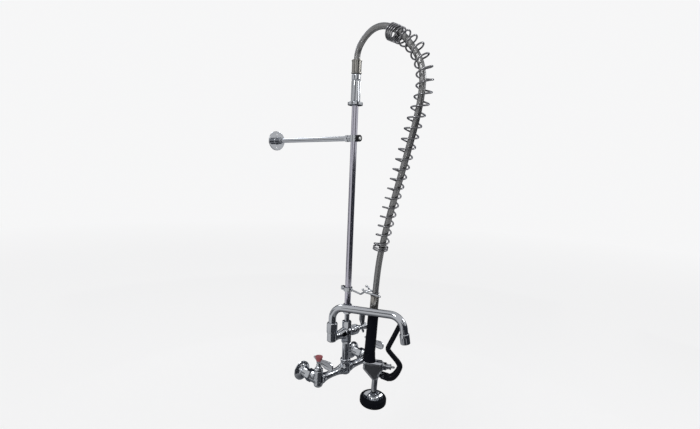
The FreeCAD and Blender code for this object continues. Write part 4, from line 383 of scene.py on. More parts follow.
def satin(name, colour, roughness=0.34):
    """Bead-blasted plating: a fine even grain that dulls the mirror."""
    finish = Finish(name)
    grain = finish.noise(3200, 3, 0.6)
    cloud = finish.noise(120, 4, 0.6)
    tint = finish.blend(grain * 0.6 + cloud * 0.3, shade(colour, 0.92), shade(colour, 0.62))
    dull = grain * 0.14 + cloud * 0.10 + (roughness - 0.12)
    bump = finish.bump(grain, 0.00004, 0.5)
    return finish.metal(tint, dull, bump)


def rubber(name, colour, roughness=0.46):
    """Moulded rubber: a fine grain, handling shine and a trace of dust."""
    finish = Finish(name)
    fine = finish.noise(2600, 3, 0.55)
    cloud = finish.noise(60, 5, 0.6)
    dust = (finish.noise(420, 5, 0.65) - 0.6).largest(0) * 1.6
    tint = finish.blend(dust * 0.06 + cloud * 0.01, colour, shade((1, 1, 1), 0.10))
    dull = cloud * 0.22 + fine * 0.06 + (roughness - 0.15)
    bump = finish.bump(fine, 0.00005, 0.55, finish.bump(cloud, 0.0002, 0.15))
    return finish.plain(tint, dull, bump, shine=0.02)


def dipped(name, colour):
    """A dipped gloss coating: orange peel and light scuffs."""
    finish = Finish(name)
    peel = finish.noise(520, 2, 0.45)
    cloud = finish.noise(90, 4, 0.6)
    scuff = (finish.noise(300, 6, 0.7) - 0.58).largest(0) * 1.5
    tint = finish.blend(scuff * 0.2 + cloud * 0.01, colour, shade((1, 1, 1), 0.10))
    dull = cloud * 0.12 + scuff * 0.5 + 0.18
    bump = finish.bump(peel, 0.00009, 0.35)
    return finish.plain(tint, dull, bump, shine=0.08)


def moulded(name, colour, roughness=0.36, shine=0.5):
    """Moulded plastic with slight flow marks and worn dust."""
    finish = Finish(name)
    cloud = finish.noise(160, 5, 0.6)
    fine = finish.noise(2000, 2, 0.5)
    tint = finish.blend(cloud, shade(colour, 1.15), shade(colour, 0.72))
    dull = cloud * 0.2 + fine * 0.05 + (roughness - 0.12)
    bump = finish.bump(fine, 0.00003, 0.4)
    return finish.plain(tint, dull, bump, shine)


def braided(name, colour, strands, pitch):
    """Woven steel braid, from the hose's own round-and-along coordinates, with painted shade darkening the
    hollows between strands and wires and lighter crowns.
    """
    finish = Finish(name)
    unrolled = finish.node("ShaderNodeTexCoord", output="UV")
    around = finish.node("ShaderNodeSeparateXYZ", {}, {"Vector": unrolled})
    along = Socket(finish, around.socket.node.outputs["Y"]) / pitch
    turns = around * strands
    left = turns + along
    right = turns - along
    strand_left = (left.fraction() - 0.5).size() * -2 + 1
    strand_right = (right.fraction() - 0.5).size() * -2 + 1
    over = (left.whole() + right.whole()) * 0.5
    top = over.fraction() > 0.25
    upper = {"Factor": top, MIX_NUMBERS[0]: strand_left, MIX_NUMBERS[1]: strand_right}
    ridge = finish.node("ShaderNodeMix", {}, upper)
    wires_left = ((left * 3.0).fraction() - 0.5).size()
    wires_right = ((right * 3.0).fraction() - 0.5).size()
    wires = wires_left * top + wires_right * (1 - top)
    height = ridge.power(0.5) + wires * 0.25
    cloud = finish.noise(60, 4, 0.6)
    # Painted shade: the colour darkens with the braid's depth, to about a fifth in the hollows, and lightens on
    # the crowns.
    tint = finish.blend(height.smallest(1), shade(colour, 0.22), shade(colour, 1.2))
    dull = 0.30 - height * 0.1 + cloud * 0.06
    bump = finish.bump(height, 0.00022, 0.7)
    return finish.metal(tint, dull, bump)


def finishes():
    """The materials by name, made once: one for each slot of the record, and the braid, cast and satin."""
    if "faucet_chrome" in bpy.data.materials:
        return {name.removeprefix("faucet_"): material for name, material in bpy.data.materials.items()
                if name.startswith("faucet_")}
    metals = bpy.context.scene.faucet_metals
    hose = bpy.context.scene.faucet_hose
    spring = bpy.context.scene.faucet_spring
    handset = bpy.context.scene.faucet_handset
    levers = bpy.context.scene.faucet_levers
    return {
        "chrome": plated("faucet_chrome", metals.chrome),
        "riser_chrome": plated("faucet_riser_chrome", metals.riser, roughness=0.13, ripple=0.00001),
        "hose_steel": plated("faucet_hose_steel", HOSE_ENDS, roughness=0.20, ripple=0.00001),
        "hose_braid": braided("faucet_hose_braid", hose.metal, hose.strands, hose.pitch),
        "spring_steel": plated("faucet_spring_steel", spring.metal, roughness=0.16, ripple=0.00001),
        "black_rubber": rubber("faucet_black_rubber", handset.rubber),
        "black_coating": dipped("faucet_black_coating", handset.coating),
        "black_plastic": moulded("faucet_black_plastic", BLACK_PLASTIC, shine=0.15),
        "cast": plated("faucet_cast", metals.chrome, roughness=0.06, ripple=0.0011, lumps=130),
        "satin": satin("faucet_satin", shade(metals.chrome, 0.50)),
        "screw_steel": brushed("faucet_screw_steel", metals.steel, roughness=0.24, stretch=(300, 300, 300)),
        "index_red": moulded("faucet_index_red", levers.hot),
        "index_blue": moulded("faucet_index_blue", levers.cold),
        "brass": brushed("faucet_brass", metals.brass, roughness=0.28, stretch=(300, 300, 900)),
        "seal_rubber": rubber("faucet_seal_rubber", SEAL_RUBBER),
    }


# ---- meshes ----


def piece(name, mesh_data, slot, body, material=None):
    """Links a mesh as a piece that rides on a body."""
    made = bpy.data.objects.new(name, mesh_data)
    bpy.context.scene.collection.objects.link(made)
    made.data.materials.append(finishes()[material or slot])
    if body:
        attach(made, body)
    return made


def smooth(made):
    for polygon in made.polygons:
        polygon.use_smooth = True
    return made


def mesh_from(name, build):
    """A mesh filled in by a function that takes a bmesh."""
    form = bmesh.new()
    build(form)
    bmesh.ops.recalc_face_normals(form, faces=form.faces)
    made = bpy.data.meshes.new(name)
    form.to_mesh(made)
    form.free()
    return smooth(made)


def formed(name, build, slot, body, material=None):
    """A piece whose mesh is filled in by a function."""
    return piece(name, mesh_from(name, build), slot, body, material)


def spot(form, place, radius, angle, height):
    """A point round the Z axis of a place."""
    return form.verts.new(place @ Vector((radius * math.cos(angle), radius * math.sin(angle), height)))


def half_round(centre, radius, start, way, steps):
    """Points of a half circle; start is in half turns, and way is 1 or -1."""
    angles = [math.pi * (start + way * step / steps) for step in range(steps + 1)]
    return [(centre[0] + radius * math.cos(angle), centre[1] + radius * math.sin(angle)) for angle in angles]


def join(form, rings):
    """Faces between each ring of points and the next."""
    for low, high in zip(rings, rings[1:]):
        for index in range(len(low)):
            after = (index + 1) % len(low)
            form.faces.new((low[index], low[after], high[after], high[index]))


def sweep(form, points, radius, sides, sideways=Vector((1, 0, 0)), uv=False):
    """A round bar along points, with closed ends; radius may be a list."""
    layer = form.loops.layers.uv.verify() if uv else None
    rings = []
    travelled = [0.0]
    across = sideways.copy()
    for index, point in enumerate(points):
        before = points[max(index - 1, 0)]
        after = points[min(index + 1, len(points) - 1)]
        heading = (after - before).normalized()
        across = (across - heading * across.dot(heading)).normalized()
        up = heading.cross(across)
        size = radius[index] if isinstance(radius, list) else radius
        ring = []
        for side in range(sides):
            angle = 2 * math.pi * side / sides
            ring.append(form.verts.new(point + (across * math.cos(angle) + up * math.sin(angle)) * size))
        if rings:
            travelled.append(travelled[-1] + (point - points[index - 1]).length)
        rings.append(ring)
    for index, (low, high) in enumerate(zip(rings, rings[1:])):
        for side in range(sides):
            after = (side + 1) % sides
            face = form.faces.new((low[side], low[after], high[after], high[side]))
            if layer:
                corners = ((side, index), (side + 1, index), (side + 1, index + 1), (side, index + 1))
                for loop, (around, step) in zip(face.loops, corners):
                    loop[layer].uv = (around / sides, travelled[step])
    form.faces.new(rings[0][::-1])
    form.faces.new(rings[-1])


def turn(form, profile, sides, place):
    """A lathe-turned form; profile lists (radius, height) from one end to the other."""
    rings = []
    for radius, height in profile:
        count = sides if radius else 1
        rings.append([spot(form, place, radius, 2 * math.pi * side / sides, height) for side in range(count)])
    for low, high in zip(rings, rings[1:]):
        for side in range(sides):
            after = (side + 1) % sides
            corners = [low[side % len(low)], low[after % len(low)]]
            corners += [high[after % len(high)], high[side % len(high)]]
            unique = list(dict.fromkeys(corners))
            if len(unique) > 2:
                form.faces.new(unique)


def hexed(form, levels, place, sides=96):
    """A turned ring with wrench flats; each level is a height, a width over flats or 0, and a radius."""
    rings = []
    for height, flats, radius in levels:
        ring = []
        for side in range(sides):
            angle = 2 * math.pi * side / sides
            corner = (math.degrees(angle) + 30) % 60 - 30
            reach = min(flats / 2 / math.cos(math.radians(corner)), radius) if flats else radius
            ring.append(spot(form, place, reach, angle, height))
        rings.append(ring)
    join(form, rings + rings[:1])


def fluted(form, levels, place, count, depth, sides=144):
    """A turned ring with flutes down its outside; each level is a height, a radius and a share of depth."""
    rings = []
    for height, radius, share in levels:
        ring = []
        for side in range(sides):
            angle = 2 * math.pi * side / sides
            reach = radius - depth * share * (1 + math.cos(count * angle)) / 2
            ring.append(spot(form, place, reach, angle, height))
        rings.append(ring)
    join(form, rings + rings[:1])


def sleeve(form, axis, place, *levels):
    """A hollow cone round a passage, for a casting's blends; each level is a distance and an outer radius."""
    way = Matrix.Rotation(math.radians(90), 4, "Y") if axis == "X" else Matrix()
    outer = [(radius, along) for along, radius in levels]
    profile = [(CASTING_BORE, levels[0][0]), *outer, (CASTING_BORE, levels[-1][0])]
    turn(form, profile + [profile[0]], 64, place @ way)


def melted(name, node, blends, voxel, passes, fuller=0):
    """A mesh with flowing blends: a node's form, if one is named, and its blends, melted into one."""
    form = bmesh.new()
    if node:
        form.from_mesh(frame["nodes"][node].data)
    blends(form)
    bmesh.ops.remove_doubles(form, verts=form.verts, dist=0.000001)
    bmesh.ops.recalc_face_normals(form, faces=form.faces)
    raw = bpy.data.meshes.new(name)
    form.to_mesh(raw)
    form.free()
    carrier = bpy.data.objects.new(name, raw)
    bpy.context.scene.collection.objects.link(carrier)
    grown = carrier.modifiers.new("grown", "REMESH")
    grown.mode = "VOXEL"
    grown.voxel_size = voxel
    flowed = carrier.modifiers.new("flowed", "SMOOTH")
    flowed.factor = 0.5
    flowed.iterations = passes
    full = carrier.modifiers.new("full", "DISPLACE")
    full.strength = fuller
    full.mid_level = 0
    made = bpy.data.meshes.new_from_object(carrier.evaluated_get(bpy.context.evaluated_depsgraph_get()))
    bpy.data.objects.remove(carrier)
    return smooth(made)


def rounded_profile(corners, radius, steps=4):
    """Rounds the inner corners of a profile."""
    rounded = [corners[0]]
    for before, corner, after in zip(corners, corners[1:], corners[2:]):
        start, middle, end = Vector(before), Vector(corner), Vector(after)
        reach = min(radius, (start - middle).length * 0.45, (end - middle).length * 0.45)
        low = middle + (start - middle).normalized() * reach
        high = middle + (end - middle).normalized() * reach
        for step in range(steps + 1):
            share = step / steps
            point = low * (1 - share) ** 2 + middle * 2 * share * (1 - share) + high * share ** 2
            rounded.append(tuple(point))
    return rounded + [corners[-1]]


def slab(form, outline, levels, place):
    """A flat form from rings of one outline; levels lists (inset, height) from one face to the other."""
    centre = sum((Vector(point) for point in outline), Vector((0, 0))) / len(outline)
    rings = []
    for inset, height in levels:
        ring = []
        for before, point, after in zip([outline[-1], *outline[:-1]], outline, [*outline[1:], outline[0]]):
            edge = (Vector(after) - Vector(before)).normalized()
            inward = Vector((-edge.y, edge.x))
            if inward.dot(centre - Vector(point)) < 0:
                inward.negate()
            moved = Vector(point) + inward * inset
            ring.append(form.verts.new(place @ Vector((moved.x, moved.y, height))))
        rings.append(ring)
    join(form, rings)
    form.faces.new(rings[0][::-1])
    form.faces.new(rings[-1])


def soften(made, width):
    """Rounds a piece's sharp edges."""
    bevel = made.modifiers.new("soft edges", "BEVEL")
    bevel.width = width
    bevel.segments = 3
    bevel.limit_method = "ANGLE"
    bevel.angle_limit = math.radians(35)
    bevel.harden_normals = True
    return made


# ---- the hose's line ----


def hose_corners():
    """The route from the upper ferrule to the lower one."""
    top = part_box("upper_ferrule")[1].z
    end = HANDSET @ Vector((0, 0, HOSE_END))
    lead = HANDSET.to_3x3() @ Vector((0, 0, HOSE_LAST_RUN))
    return [Vector((0, -STAND_OFF, top))] + [
        Vector((0, -STAND_OFF - reach, height)) for reach, height in HOSE_ROUTE
    ] + [end + lead, end]


def smooth_line(corners, fineness=24):
    """Points along the NURBS spline that has the corners as its control points."""
    curve = bpy.data.curves.new("line", "CURVE")
    curve.dimensions = "3D"
    curve.resolution_u = fineness
    spline = curve.splines.new("NURBS")
    spline.points.add(len(corners) - 1)
    for point, corner in zip(spline.points, corners):
        point.co = (*corner, 1)
    spline.order_u = 3
    spline.use_endpoint_u = True
    carrier = bpy.data.objects.new("line", curve)
    made = bpy.data.meshes.new_from_object(carrier)
    points = [vertex.co.copy() for vertex in made.vertices]
    bpy.data.objects.remove(carrier)
    bpy.data.curves.remove(curve)
    bpy.data.meshes.remove(made)
    return points


class Line:
    """Looks up the point and heading at a distance along a line of points."""

    def __init__(self, points):
        self.points = points
        self.stations = [0.0]
        for low, high in zip(points, points[1:]):
            self.stations.append(self.stations[-1] + (high - low).length)

    def at(self, distance):
        index = sum(1 for station in self.stations[1:-1] if station < distance)
        low, high = self.points[index], self.points[index + 1]
        share = (distance - self.stations[index]) / (self.stations[index + 1] - self.stations[index])
        return low.lerp(high, share), self.heading(index, share)

    def heading(self, index, share):
        last = len(self.points) - 1
        ways = [
            (self.points[min(step + 1, last)] - self.points[max(step - 1, 0)]).normalized()
            for step in (index, index + 1)
        ]
        return ways[0].lerp(ways[1], share).normalized()


def spring_lean(share):
    """The spring's lean off the hose's axis at a share of its length: 1 inside the arch, and -1 outside."""
    for (low, before), (high, after) in zip(SPRING_LEAN, SPRING_LEAN[1:]):
        if share <= high:
            part = (share - low) / (high - low)
            return before + (after - before) * (1 - math.cos(math.pi * part)) / 2
    return SPRING_LEAN[-1][1]


def spring_pitches(total, closed=0.0068, wide=0.0262, foot=0.024, tail=0.0055):
    """Pitch of each turn: closed on the arch, opening, hanging ever closer, and a closed end."""
    top = [closed] * 4 + [closed + (wide - closed) * turn / 3 for turn in range(1, 3)]
    room = total - sum(top) - tail * 2
    count = round(room / ((wide + foot) / 2))
    hanging = [wide + (foot - wide) * turn / count for turn in range(count)]
    fit = room / sum(hanging)
    return top + [pitch * fit for pitch in hanging] + [tail] * 2


# ---- the stage and the pieces ----


class FAUCET_OT_stage(Operator):
    """Camera, lamps, world, floor, and the dark flags that are seen only in the metal as painted reflections"""

    bl_idname = "faucet.stage"
    bl_label = "Stage"

    def execute(self, context):
        stage = context.scene.faucet_stage
        context.scene.view_settings.view_transform = "Standard"
        self.camera(context, stage.lens)
        self.world(context, stage.backdrop)
        self.floor(context, stage)
        self.flags(context, stage)
        self.lamps(context)
        return {"FINISHED"}

    def camera(self, context, lens):
        lens_data = bpy.data.cameras.new("view")
        lens_data.lens = lens
        lens_data.sensor_width = SENSOR_WIDTH
        lens_data.clip_end = FARTHEST_SEEN
        made = bpy.data.objects.new("view", lens_data)
        context.scene.collection.objects.link(made)
        turned, pitch, roll = (math.radians(angle) for angle in CAMERA_ANGLES)
        level = math.cos(pitch)
        back = Vector((math.sin(turned) * level, -math.cos(turned) * level, math.sin(pitch)))
        right = Vector((math.cos(turned), math.sin(turned), 0))
        up = back.cross(right)
        rolled = right * math.cos(roll) + up * math.sin(roll)
        upright = up * math.cos(roll) - right * math.sin(roll)
        axes = Matrix((rolled, upright, back)).transposed().to_4x4()
        made.matrix_world = Matrix.Translation(CAMERA_PLACE) @ axes
        context.scene.camera = made

    def world(self, context, backdrop):
        world = bpy.data.worlds.new("studio")
        world.use_nodes = True
        context.scene.world = world
        nodes = Nodes(world.node_tree)
        light = nodes.node("ShaderNodeBackground", {}, {"Color": (1, 1, 1), "Strength": WORLD_LIGHT})
        shown = nodes.node("ShaderNodeBackground", {}, {"Color": backdrop, "Strength": 1.0})
        mixed = nodes.node("ShaderNodeMixShader", {}, {0: nodes.seen(), 1: light, 2: shown})
        nodes.fill(nodes.tree.nodes["World Output"].inputs["Surface"], mixed)

    def floor(self, context, stage):
        finish = Finish("pale_floor")
        cloud = finish.noise(1.2, 3, 0.5)
        tint = finish.blend(cloud, shade(stage.floor_colour, 0.985), shade(stage.floor_colour, 1.015))
        finish.set(Base_Color=tint, Roughness=0.6)
        glow = finish.node("ShaderNodeEmission", {}, {"Color": stage.backdrop, "Strength": 1.0})
        plain = Socket(finish, finish.surface.outputs["BSDF"])
        away = finish.node("ShaderNodeVectorMath", {"operation": "LENGTH"}, {0: finish.place()}, output=1)
        share = (away * 0.05 + 0.66).smallest(1)
        mixed = finish.node("ShaderNodeMixShader", {}, {0: finish.seen() * share, 1: plain, 2: glow})
        finish.fill(finish.tree.nodes["Material Output"].inputs["Surface"], mixed)
        form = bmesh.new()
        bmesh.ops.create_circle(form, cap_ends=True, segments=96, radius=FLOOR_RADIUS)
        made = bpy.data.meshes.new("floor")
        form.to_mesh(made)
        form.free()
        ground = bpy.data.objects.new("floor", made)
        ground.location.z = stage.floor
        made.materials.append(finish.material)
        context.scene.collection.objects.link(ground)

    def flags(self, context, stage):
        """Curved dark flags round the faucet, out of the camera's sight, that cast no shade and light nothing:
        painted dark reflections in the metal.
        """
        for name, first, last, low, high, radius, pale in FLAGS:
            finish = Finish(name)
            cloud = finish.noise(2.0, 2, 0.4)
            tone = [dark + (light - dark) * pale for dark, light in zip(stage.flags, stage.floor_colour)]
            finish.set(Base_Color=finish.blend(cloud, shade(tone, 0.8), shade(tone, 1.2)), Roughness=0.9)
            self.flag(context, name, finish.material,
                      lambda form: self.curved(form, first, last, low, high, radius))
        # Painted dark reflection: a dark disc under the faucet that only the metal shows, paler toward its rim.
        table = Finish("studio_table")
        centre = table.node("ShaderNodeVectorMath", {"operation": "LENGTH"}, {0: table.place()}, output=1)
        near = (TABLE_RADIUS - centre).largest(0).smallest(1)
        table.set(Base_Color=table.blend(near, stage.floor_colour, stage.table), Roughness=0.9)
        self.flag(context, "flag_table", table.material,
                  lambda form: self.round(form, stage.floor + TABLE_LIFT, TABLE_RADIUS))

    def flag(self, context, name, material, build):
        """A card that only the metal's reflections show: a painted reflection."""
        form = bmesh.new()
        build(form)
        made = bpy.data.meshes.new(name)
        form.to_mesh(made)
        form.free()
        made.materials.append(material)
        flag = bpy.data.objects.new(name, made)
        flag.visible_camera = False
        flag.visible_diffuse = False
        flag.visible_shadow = False
        context.scene.collection.objects.link(flag)

    def curved(self, form, first, last, low, high, radius):
        steps = 16
        columns = []
        for step in range(steps + 1):
            angle = math.radians(first + (last - first) * step / steps)
            columns.append([spot(form, Matrix(), radius, angle, level) for level in (low, high)])
        for before, after in zip(columns, columns[1:]):
            form.faces.new((before[0], after[0], after[1], before[1]))

    def round(self, form, level, radius):
        lifted = Matrix.Translation((0, 0, level))
        bmesh.ops.create_circle(form, cap_ends=True, segments=64, radius=radius, matrix=lifted)

    def lamps(self, context):
        for name, place, size, power in LAMPS:
            lamp = bpy.data.lights.new(name, "AREA")
            lamp.size = size
            lamp.energy = power
            made = bpy.data.objects.new(name, lamp)
            made.location = place
            made.rotation_euler = (LAMP_TARGET - Vector(place)).to_track_quat("-Z", "Y").to_euler()
            context.scene.collection.objects.link(made)


class FAUCET_OT_hose(Operator):
    """Braided hose between the two ferrules"""

    bl_idname = "faucet.hose"
    bl_label = "Hose"

    def execute(self, context):
        sizes = context.scene.faucet_hose
        points = smooth_line(hose_corners())
        made = mesh_from("hose", lambda form: sweep(form, points, sizes.diameter / 2, sides=28, uv=True))
        hose = piece("braided_hose", made, "hose_steel", None, "hose_braid")
        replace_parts(hose, "hose")
        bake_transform(hose)
        return {"FINISHED"}


class FAUCET_OT_spring(Operator):
    """Loose steel spring that rests on the hose's arch"""

    bl_idname = "faucet.spring"
    bl_label = "Overhead spring"

    def execute(self, context):
        sizes = context.scene.faucet_spring
        hose = context.scene.faucet_hose
        corners = hose_corners()
        line = Line(smooth_line(corners))
        total = sizes.end - sizes.start
        pitches = spring_pitches(total)
        steps_per_turn = 40
        points = []
        for step in range(len(pitches) * steps_per_turn + 1):
            turns = step / steps_per_turn
            whole = min(int(turns), len(pitches) - 1)
            travelled = sum(pitches[:whole]) + pitches[whole] * (turns - whole)
            share = travelled / total
            centre, heading = line.at(sizes.start + travelled)
            inward = Vector((1, 0, 0)).cross(heading)
            radius = (sizes.top + (sizes.bottom - sizes.top) * share - sizes.wire) / 2
            sag = (radius - sizes.wire / 2 - hose.diameter / 2 - SPRING_GAP) * spring_lean(share)
            angle = 2 * math.pi * turns
            sideways = Vector((1, 0, 0)) * radius * math.sin(angle)
            points.append(centre + inward * (sag + radius * math.cos(angle)) + sideways)
        made = mesh_from("spring", lambda form: sweep(form, points, sizes.wire / 2, sides=12))
        spring = piece("overhead_coil", made, "spring_steel", None)
        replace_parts(spring, "overhead_spring")
        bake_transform(spring)
        return {"FINISHED"}


class FAUCET_OT_metal(Operator):
    """Finishes on the CAD model's own pieces"""

    bl_idname = "faucet.metal"
    bl_label = "Finishes"

    def execute(self, context):
        materials = finishes()
        for subpart in frame["record"]["subparts"]:
            node = frame["nodes"][subpart["node"]]
            node.data.materials.clear()
            node.data.materials.append(materials[subpart["material_slot"]])
        return {"FINISHED"}


class FAUCET_OT_castings(Operator):
    """The two castings with their flowing blends"""

    bl_idname = "faucet.castings"
    bl_label = "Castings"

    def execute(self, context):
        for name, node, blends, voxel, passes in (
            ("mixing_casting", "mixing_body", self.mixing, 0.0009, 9),
            ("addon_casting", "addon_body", self.addon, 0.0008, 8),
        ):
            made = melted(name, node, blends, voxel, passes)
            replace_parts(piece(name, made, "chrome", "faucet", "cast"), node)
        return {"FINISHED"}

    def mixing(self, form):
        """Shallower chambers, elbows behind them, and flares along the bar."""
        below, kept = -0.012, 0.68
        for vert in form.verts:
            if vert.co.z < below:
                vert.co.z = below + (vert.co.z - below) * kept
        line = Matrix.Translation((0, -STAND_OFF, 0))
        for side in ("hot", "cold"):
            to_wall = VALVES[side] @ Matrix.Rotation(math.radians(-90), 4, "X")
            sleeve(form, "Z", to_wall, (0.0060, 0.0128), (0.0120, 0.0136), (0.0210, 0.0136), (0.0232, 0.0126))
        for side in (-1, 1):
            end = side * HALF_INLETS
            steps = [(end - side * along, radius) for along, radius in
                     ((0.0060, 0.0150), (0.012, 0.0146), (0.020, 0.0122), (0.030, 0.0104), (0.045, 0.0098))]
            sleeve(form, "X", line, *steps[::-side])
            middle = [(side * along, radius) for along, radius in
                      ((0.0080, 0.0150), (0.016, 0.0138), (0.026, 0.0114), (0.036, 0.0102), (0.056, 0.0096))]
            sleeve(form, "X", line, *middle[::side])

    def addon(self, form):
        """Shoulders between the hub, the swivel chamber and the riser's nut, and a slimmer swivel chamber."""
        chamber_side, chamber_radius = -0.038, 0.0128
        for vert in form.verts:
            out = Vector((vert.co.x - SWIVEL_SIDE, vert.co.y + STAND_OFF))
            if vert.co.x < chamber_side and out.length > chamber_radius:
                vert.co.x = SWIVEL_SIDE + out.x * chamber_radius / out.length
                vert.co.y = -STAND_OFF + out.y * chamber_radius / out.length
        line = Matrix.Translation((0, -STAND_OFF, ADDON_HEIGHT))
        sleeve(form, "X", line, (-0.046, 0.0122), (-0.036, 0.0112), (-0.026, 0.0122), (-0.012, 0.0158))
        sleeve(form, "Z", line, (0.002, 0.0166), (0.009, 0.0152), (0.0140, 0.0122))


class FAUCET_OT_bonnets(Operator):
    """Bonnets of the three valves"""

    bl_idname = "faucet.bonnets"
    bl_label = "Bonnets"

    def execute(self, context):
        for side, place in VALVES.items():
            neck = formed(f"{side}_neck", lambda form: self.build(form, place), "chrome", "faucet")
            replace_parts(soften(neck, width=0.0003), f"{side}_bonnet")
        return {"FINISHED"}

    def build(self, form, place):
        flats = 0.0215
        hexed(form, [
            (0.0262, flats, 0.0102), (0.0270, flats, 0.0118), (0.0296, flats, 0.0118), (0.0304, flats, 0.0106),
            (0.0306, 0, 0.0096), (0.0330, 0, 0.0090), (0.0372, 0, 0.0066), (0.0376, 0, 0.0062),
            (0.0379, 0, 0.0070), (0.0404, 0, 0.0070), (0.0408, 0, 0.0064), (0.0410, 0, 0.0058),
            (0.0456, 0, 0.0055), (0.0460, 0, 0.0051), (0.0460, 0, 0.0047), (0.0262, 0, 0.0047),
        ], place)


class FAUCET_OT_fittings(Operator):
    """The spout's slim nut and the riser's fluted sleeve"""

    bl_idname = "faucet.fittings"
    bl_label = "Fittings"

    def execute(self, context):
        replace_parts(soften(formed("spout_gland", self.nut, "chrome", "faucet"), width=0.0003), "spout_nut")
        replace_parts(formed("fluted_sleeve", self.flutes, "chrome", "faucet"), "riser_sleeve")
        return {"FINISHED"}

    def flutes(self, form):
        fluted(form, [
            (0.7373, 0.0118, 0), (0.7380, 0.0130, 0.6), (0.7392, 0.0132, 1), (0.7893, 0.0132, 1),
            (0.7903, 0.0128, 0.6), (0.7910, 0.0117, 0), (0.7910, 0.0085, 0), (0.8015, 0.0085, 0),
            (0.8015, 0.0055, 0), (0.7453, 0.0055, 0), (0.7453, 0.00861, 0), (0.7373, 0.00861, 0),
        ], Matrix.Translation((0, -STAND_OFF, 0)), count=8, depth=0.0017)

    def nut(self, form):
        low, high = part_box("spout_nut")
        place = Matrix.Translation(((low.x + high.x) / 2, (low.y + high.y) / 2, low.z))
        top = high.z - low.z
        flats = 0.0270
        outer = ((0, 0.0136), (0.0010, 0.0147), (top - 0.0036, 0.0148), (top - 0.0014, 0.0142), (top, 0.0124))
        inner = ((top, 0.01008), (0.0157, 0.01008), (0.0157, 0.0131), (0, 0.0131))
        rings = [(height, flats, radius) for height, radius in outer]
        hexed(form, rings + [(height, 0, radius) for height, radius in inner], place)


class FAUCET_OT_handset(Operator):
    """Rubber grip and skirt, and the spray valve's shield, pads, return spring and coated lever"""

    bl_idname = "faucet.handset"
    bl_label = "Handset"

    def execute(self, context):
        sizes = context.scene.faucet_handset
        grip = formed("grip_sleeve", lambda form: self.grip(form, sizes), "black_rubber", "handset")
        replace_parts(grip, "grip")
        skirt = formed("skirt_sleeve", lambda form: self.skirt(form, sizes), "black_rubber", "handset")
        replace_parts(skirt, "grip_skirt")
        for name, side in (("near_pad", -1), ("far_pad", 1)):
            formed(name, lambda form: self.pad(form, side, sizes.pad), "chrome", "handset", "satin")
        made = frame["nodes"]["plunger_spring"].data.copy()
        made.materials.clear()
        coil = piece("return_coil", made, "spring_steel", "handset")
        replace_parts(coil, "plunger_spring")
        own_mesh(coil)
        made = melted("shield", "spray_valve_body", self.untouched, voxel=0.0008, passes=7, fuller=0.0001)
        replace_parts(piece("shield", made, "chrome", "handset", "cast"), "spray_valve_body")
        made = melted("lever_coating", None, self.lever, voxel=0.0007, passes=8)
        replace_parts(piece("lever_coating", made, "black_coating", "trigger"), "trigger_lever")
        return {"FINISHED"}

    def untouched(self, form):
        """The shield takes no blends: its corners are only flowed round."""

    def across(self, side):
        """The handset's frame with a slab's height running out of one of its two faces."""
        return HANDSET @ Matrix(((1, 0, 0), (0, 0, side), (0, 1, 0))).to_4x4()

    def lever(self, form):
        """Two cheeks round the pivot's lug, and a bar in one flowing bend with a full heel."""
        pivot = (0.041, -0.0386)
        outline = half_round(pivot, 0.0085, 0.5, 1, 12)
        outline += [(0.0560, -0.0508), (0.0640, -0.0465), (0.0640, -0.0370), (0.0560, -0.0330)]
        levels = [(0.0010, 0.0042), (0.0002, 0.0048), (0, 0.0060), (0.0006, 0.0070), (0.0018, 0.0076)]
        for side in (-1, 1):
            slab(form, outline, levels, self.across(side))
        bends = smooth_line([Vector(bend) for bend in LEVER_BENDS], fineness=6)
        points = [HANDSET @ Vector((bend.x, 0, bend.z)) for bend in bends]
        sideways = HANDSET.to_3x3() @ Vector((0, 1, 0))
        sweep(form, points, [bend.y for bend in bends], sides=40, sideways=sideways)

    def grip(self, form, sizes):
        low, high = sizes.grip / 2, sizes.grip_top / 2
        profile = [(GRIP_BORE, 0.0232), (low - 0.0006, 0.0232), (low, 0.0238), (low, 0.0246),
                   (low - 0.0005, 0.0252), (low - 0.0005, 0.0258), (low - 0.0001, 0.0264)]
        profile += [(low + (high - low) * step / 8, 0.030 + 0.098 * step / 8) for step in range(9)]
        profile += [(high - 0.0003, 0.1300), (high - 0.0011, 0.1314), (high - 0.0024, 0.1320),
                    (GRIP_BORE, 0.1320)]
        turn(form, profile + [profile[0]], sides=72, place=HANDSET)

    def skirt(self, form, sizes):
        foot, top = sizes.skirt / 2, sizes.grip / 2 + 0.0005
        profile = [(GRIP_BORE, 0), (foot - 0.0012, 0), (foot - 0.0003, 0.0004), (foot, 0.0012), (foot, 0.0044),
                   (foot - 0.0004, 0.0050), (foot - 0.0008, 0.0054), (foot - 0.0004, 0.0060),
                   (foot - 0.0004, 0.0068), (foot - 0.0009, 0.0078), (foot - 0.0014, 0.0110),
                   (top + 0.0002, 0.0200), (top, 0.0224), (top - 0.0006, 0.0230), (GRIP_BORE, 0.0230)]
        turn(form, profile + [profile[0]], sides=72, place=HANDSET)

    def pad(self, form, side, height):
        face = 0.0130
        outline = [(-0.0140, -0.0003), (-0.0140, -0.0220), (0.0134, -0.0500), (0.0286, -0.0500),
                   (0.0310, -0.0360), (0.0395, -0.0200), (0.0360, -0.0003)]
        levels = [(0.0058, face - 0.0006), (0.0058, face + height * 0.4), (0.0064, face + height),
                  (0.0072, face + height)]
        slab(form, outline, levels, self.across(side))


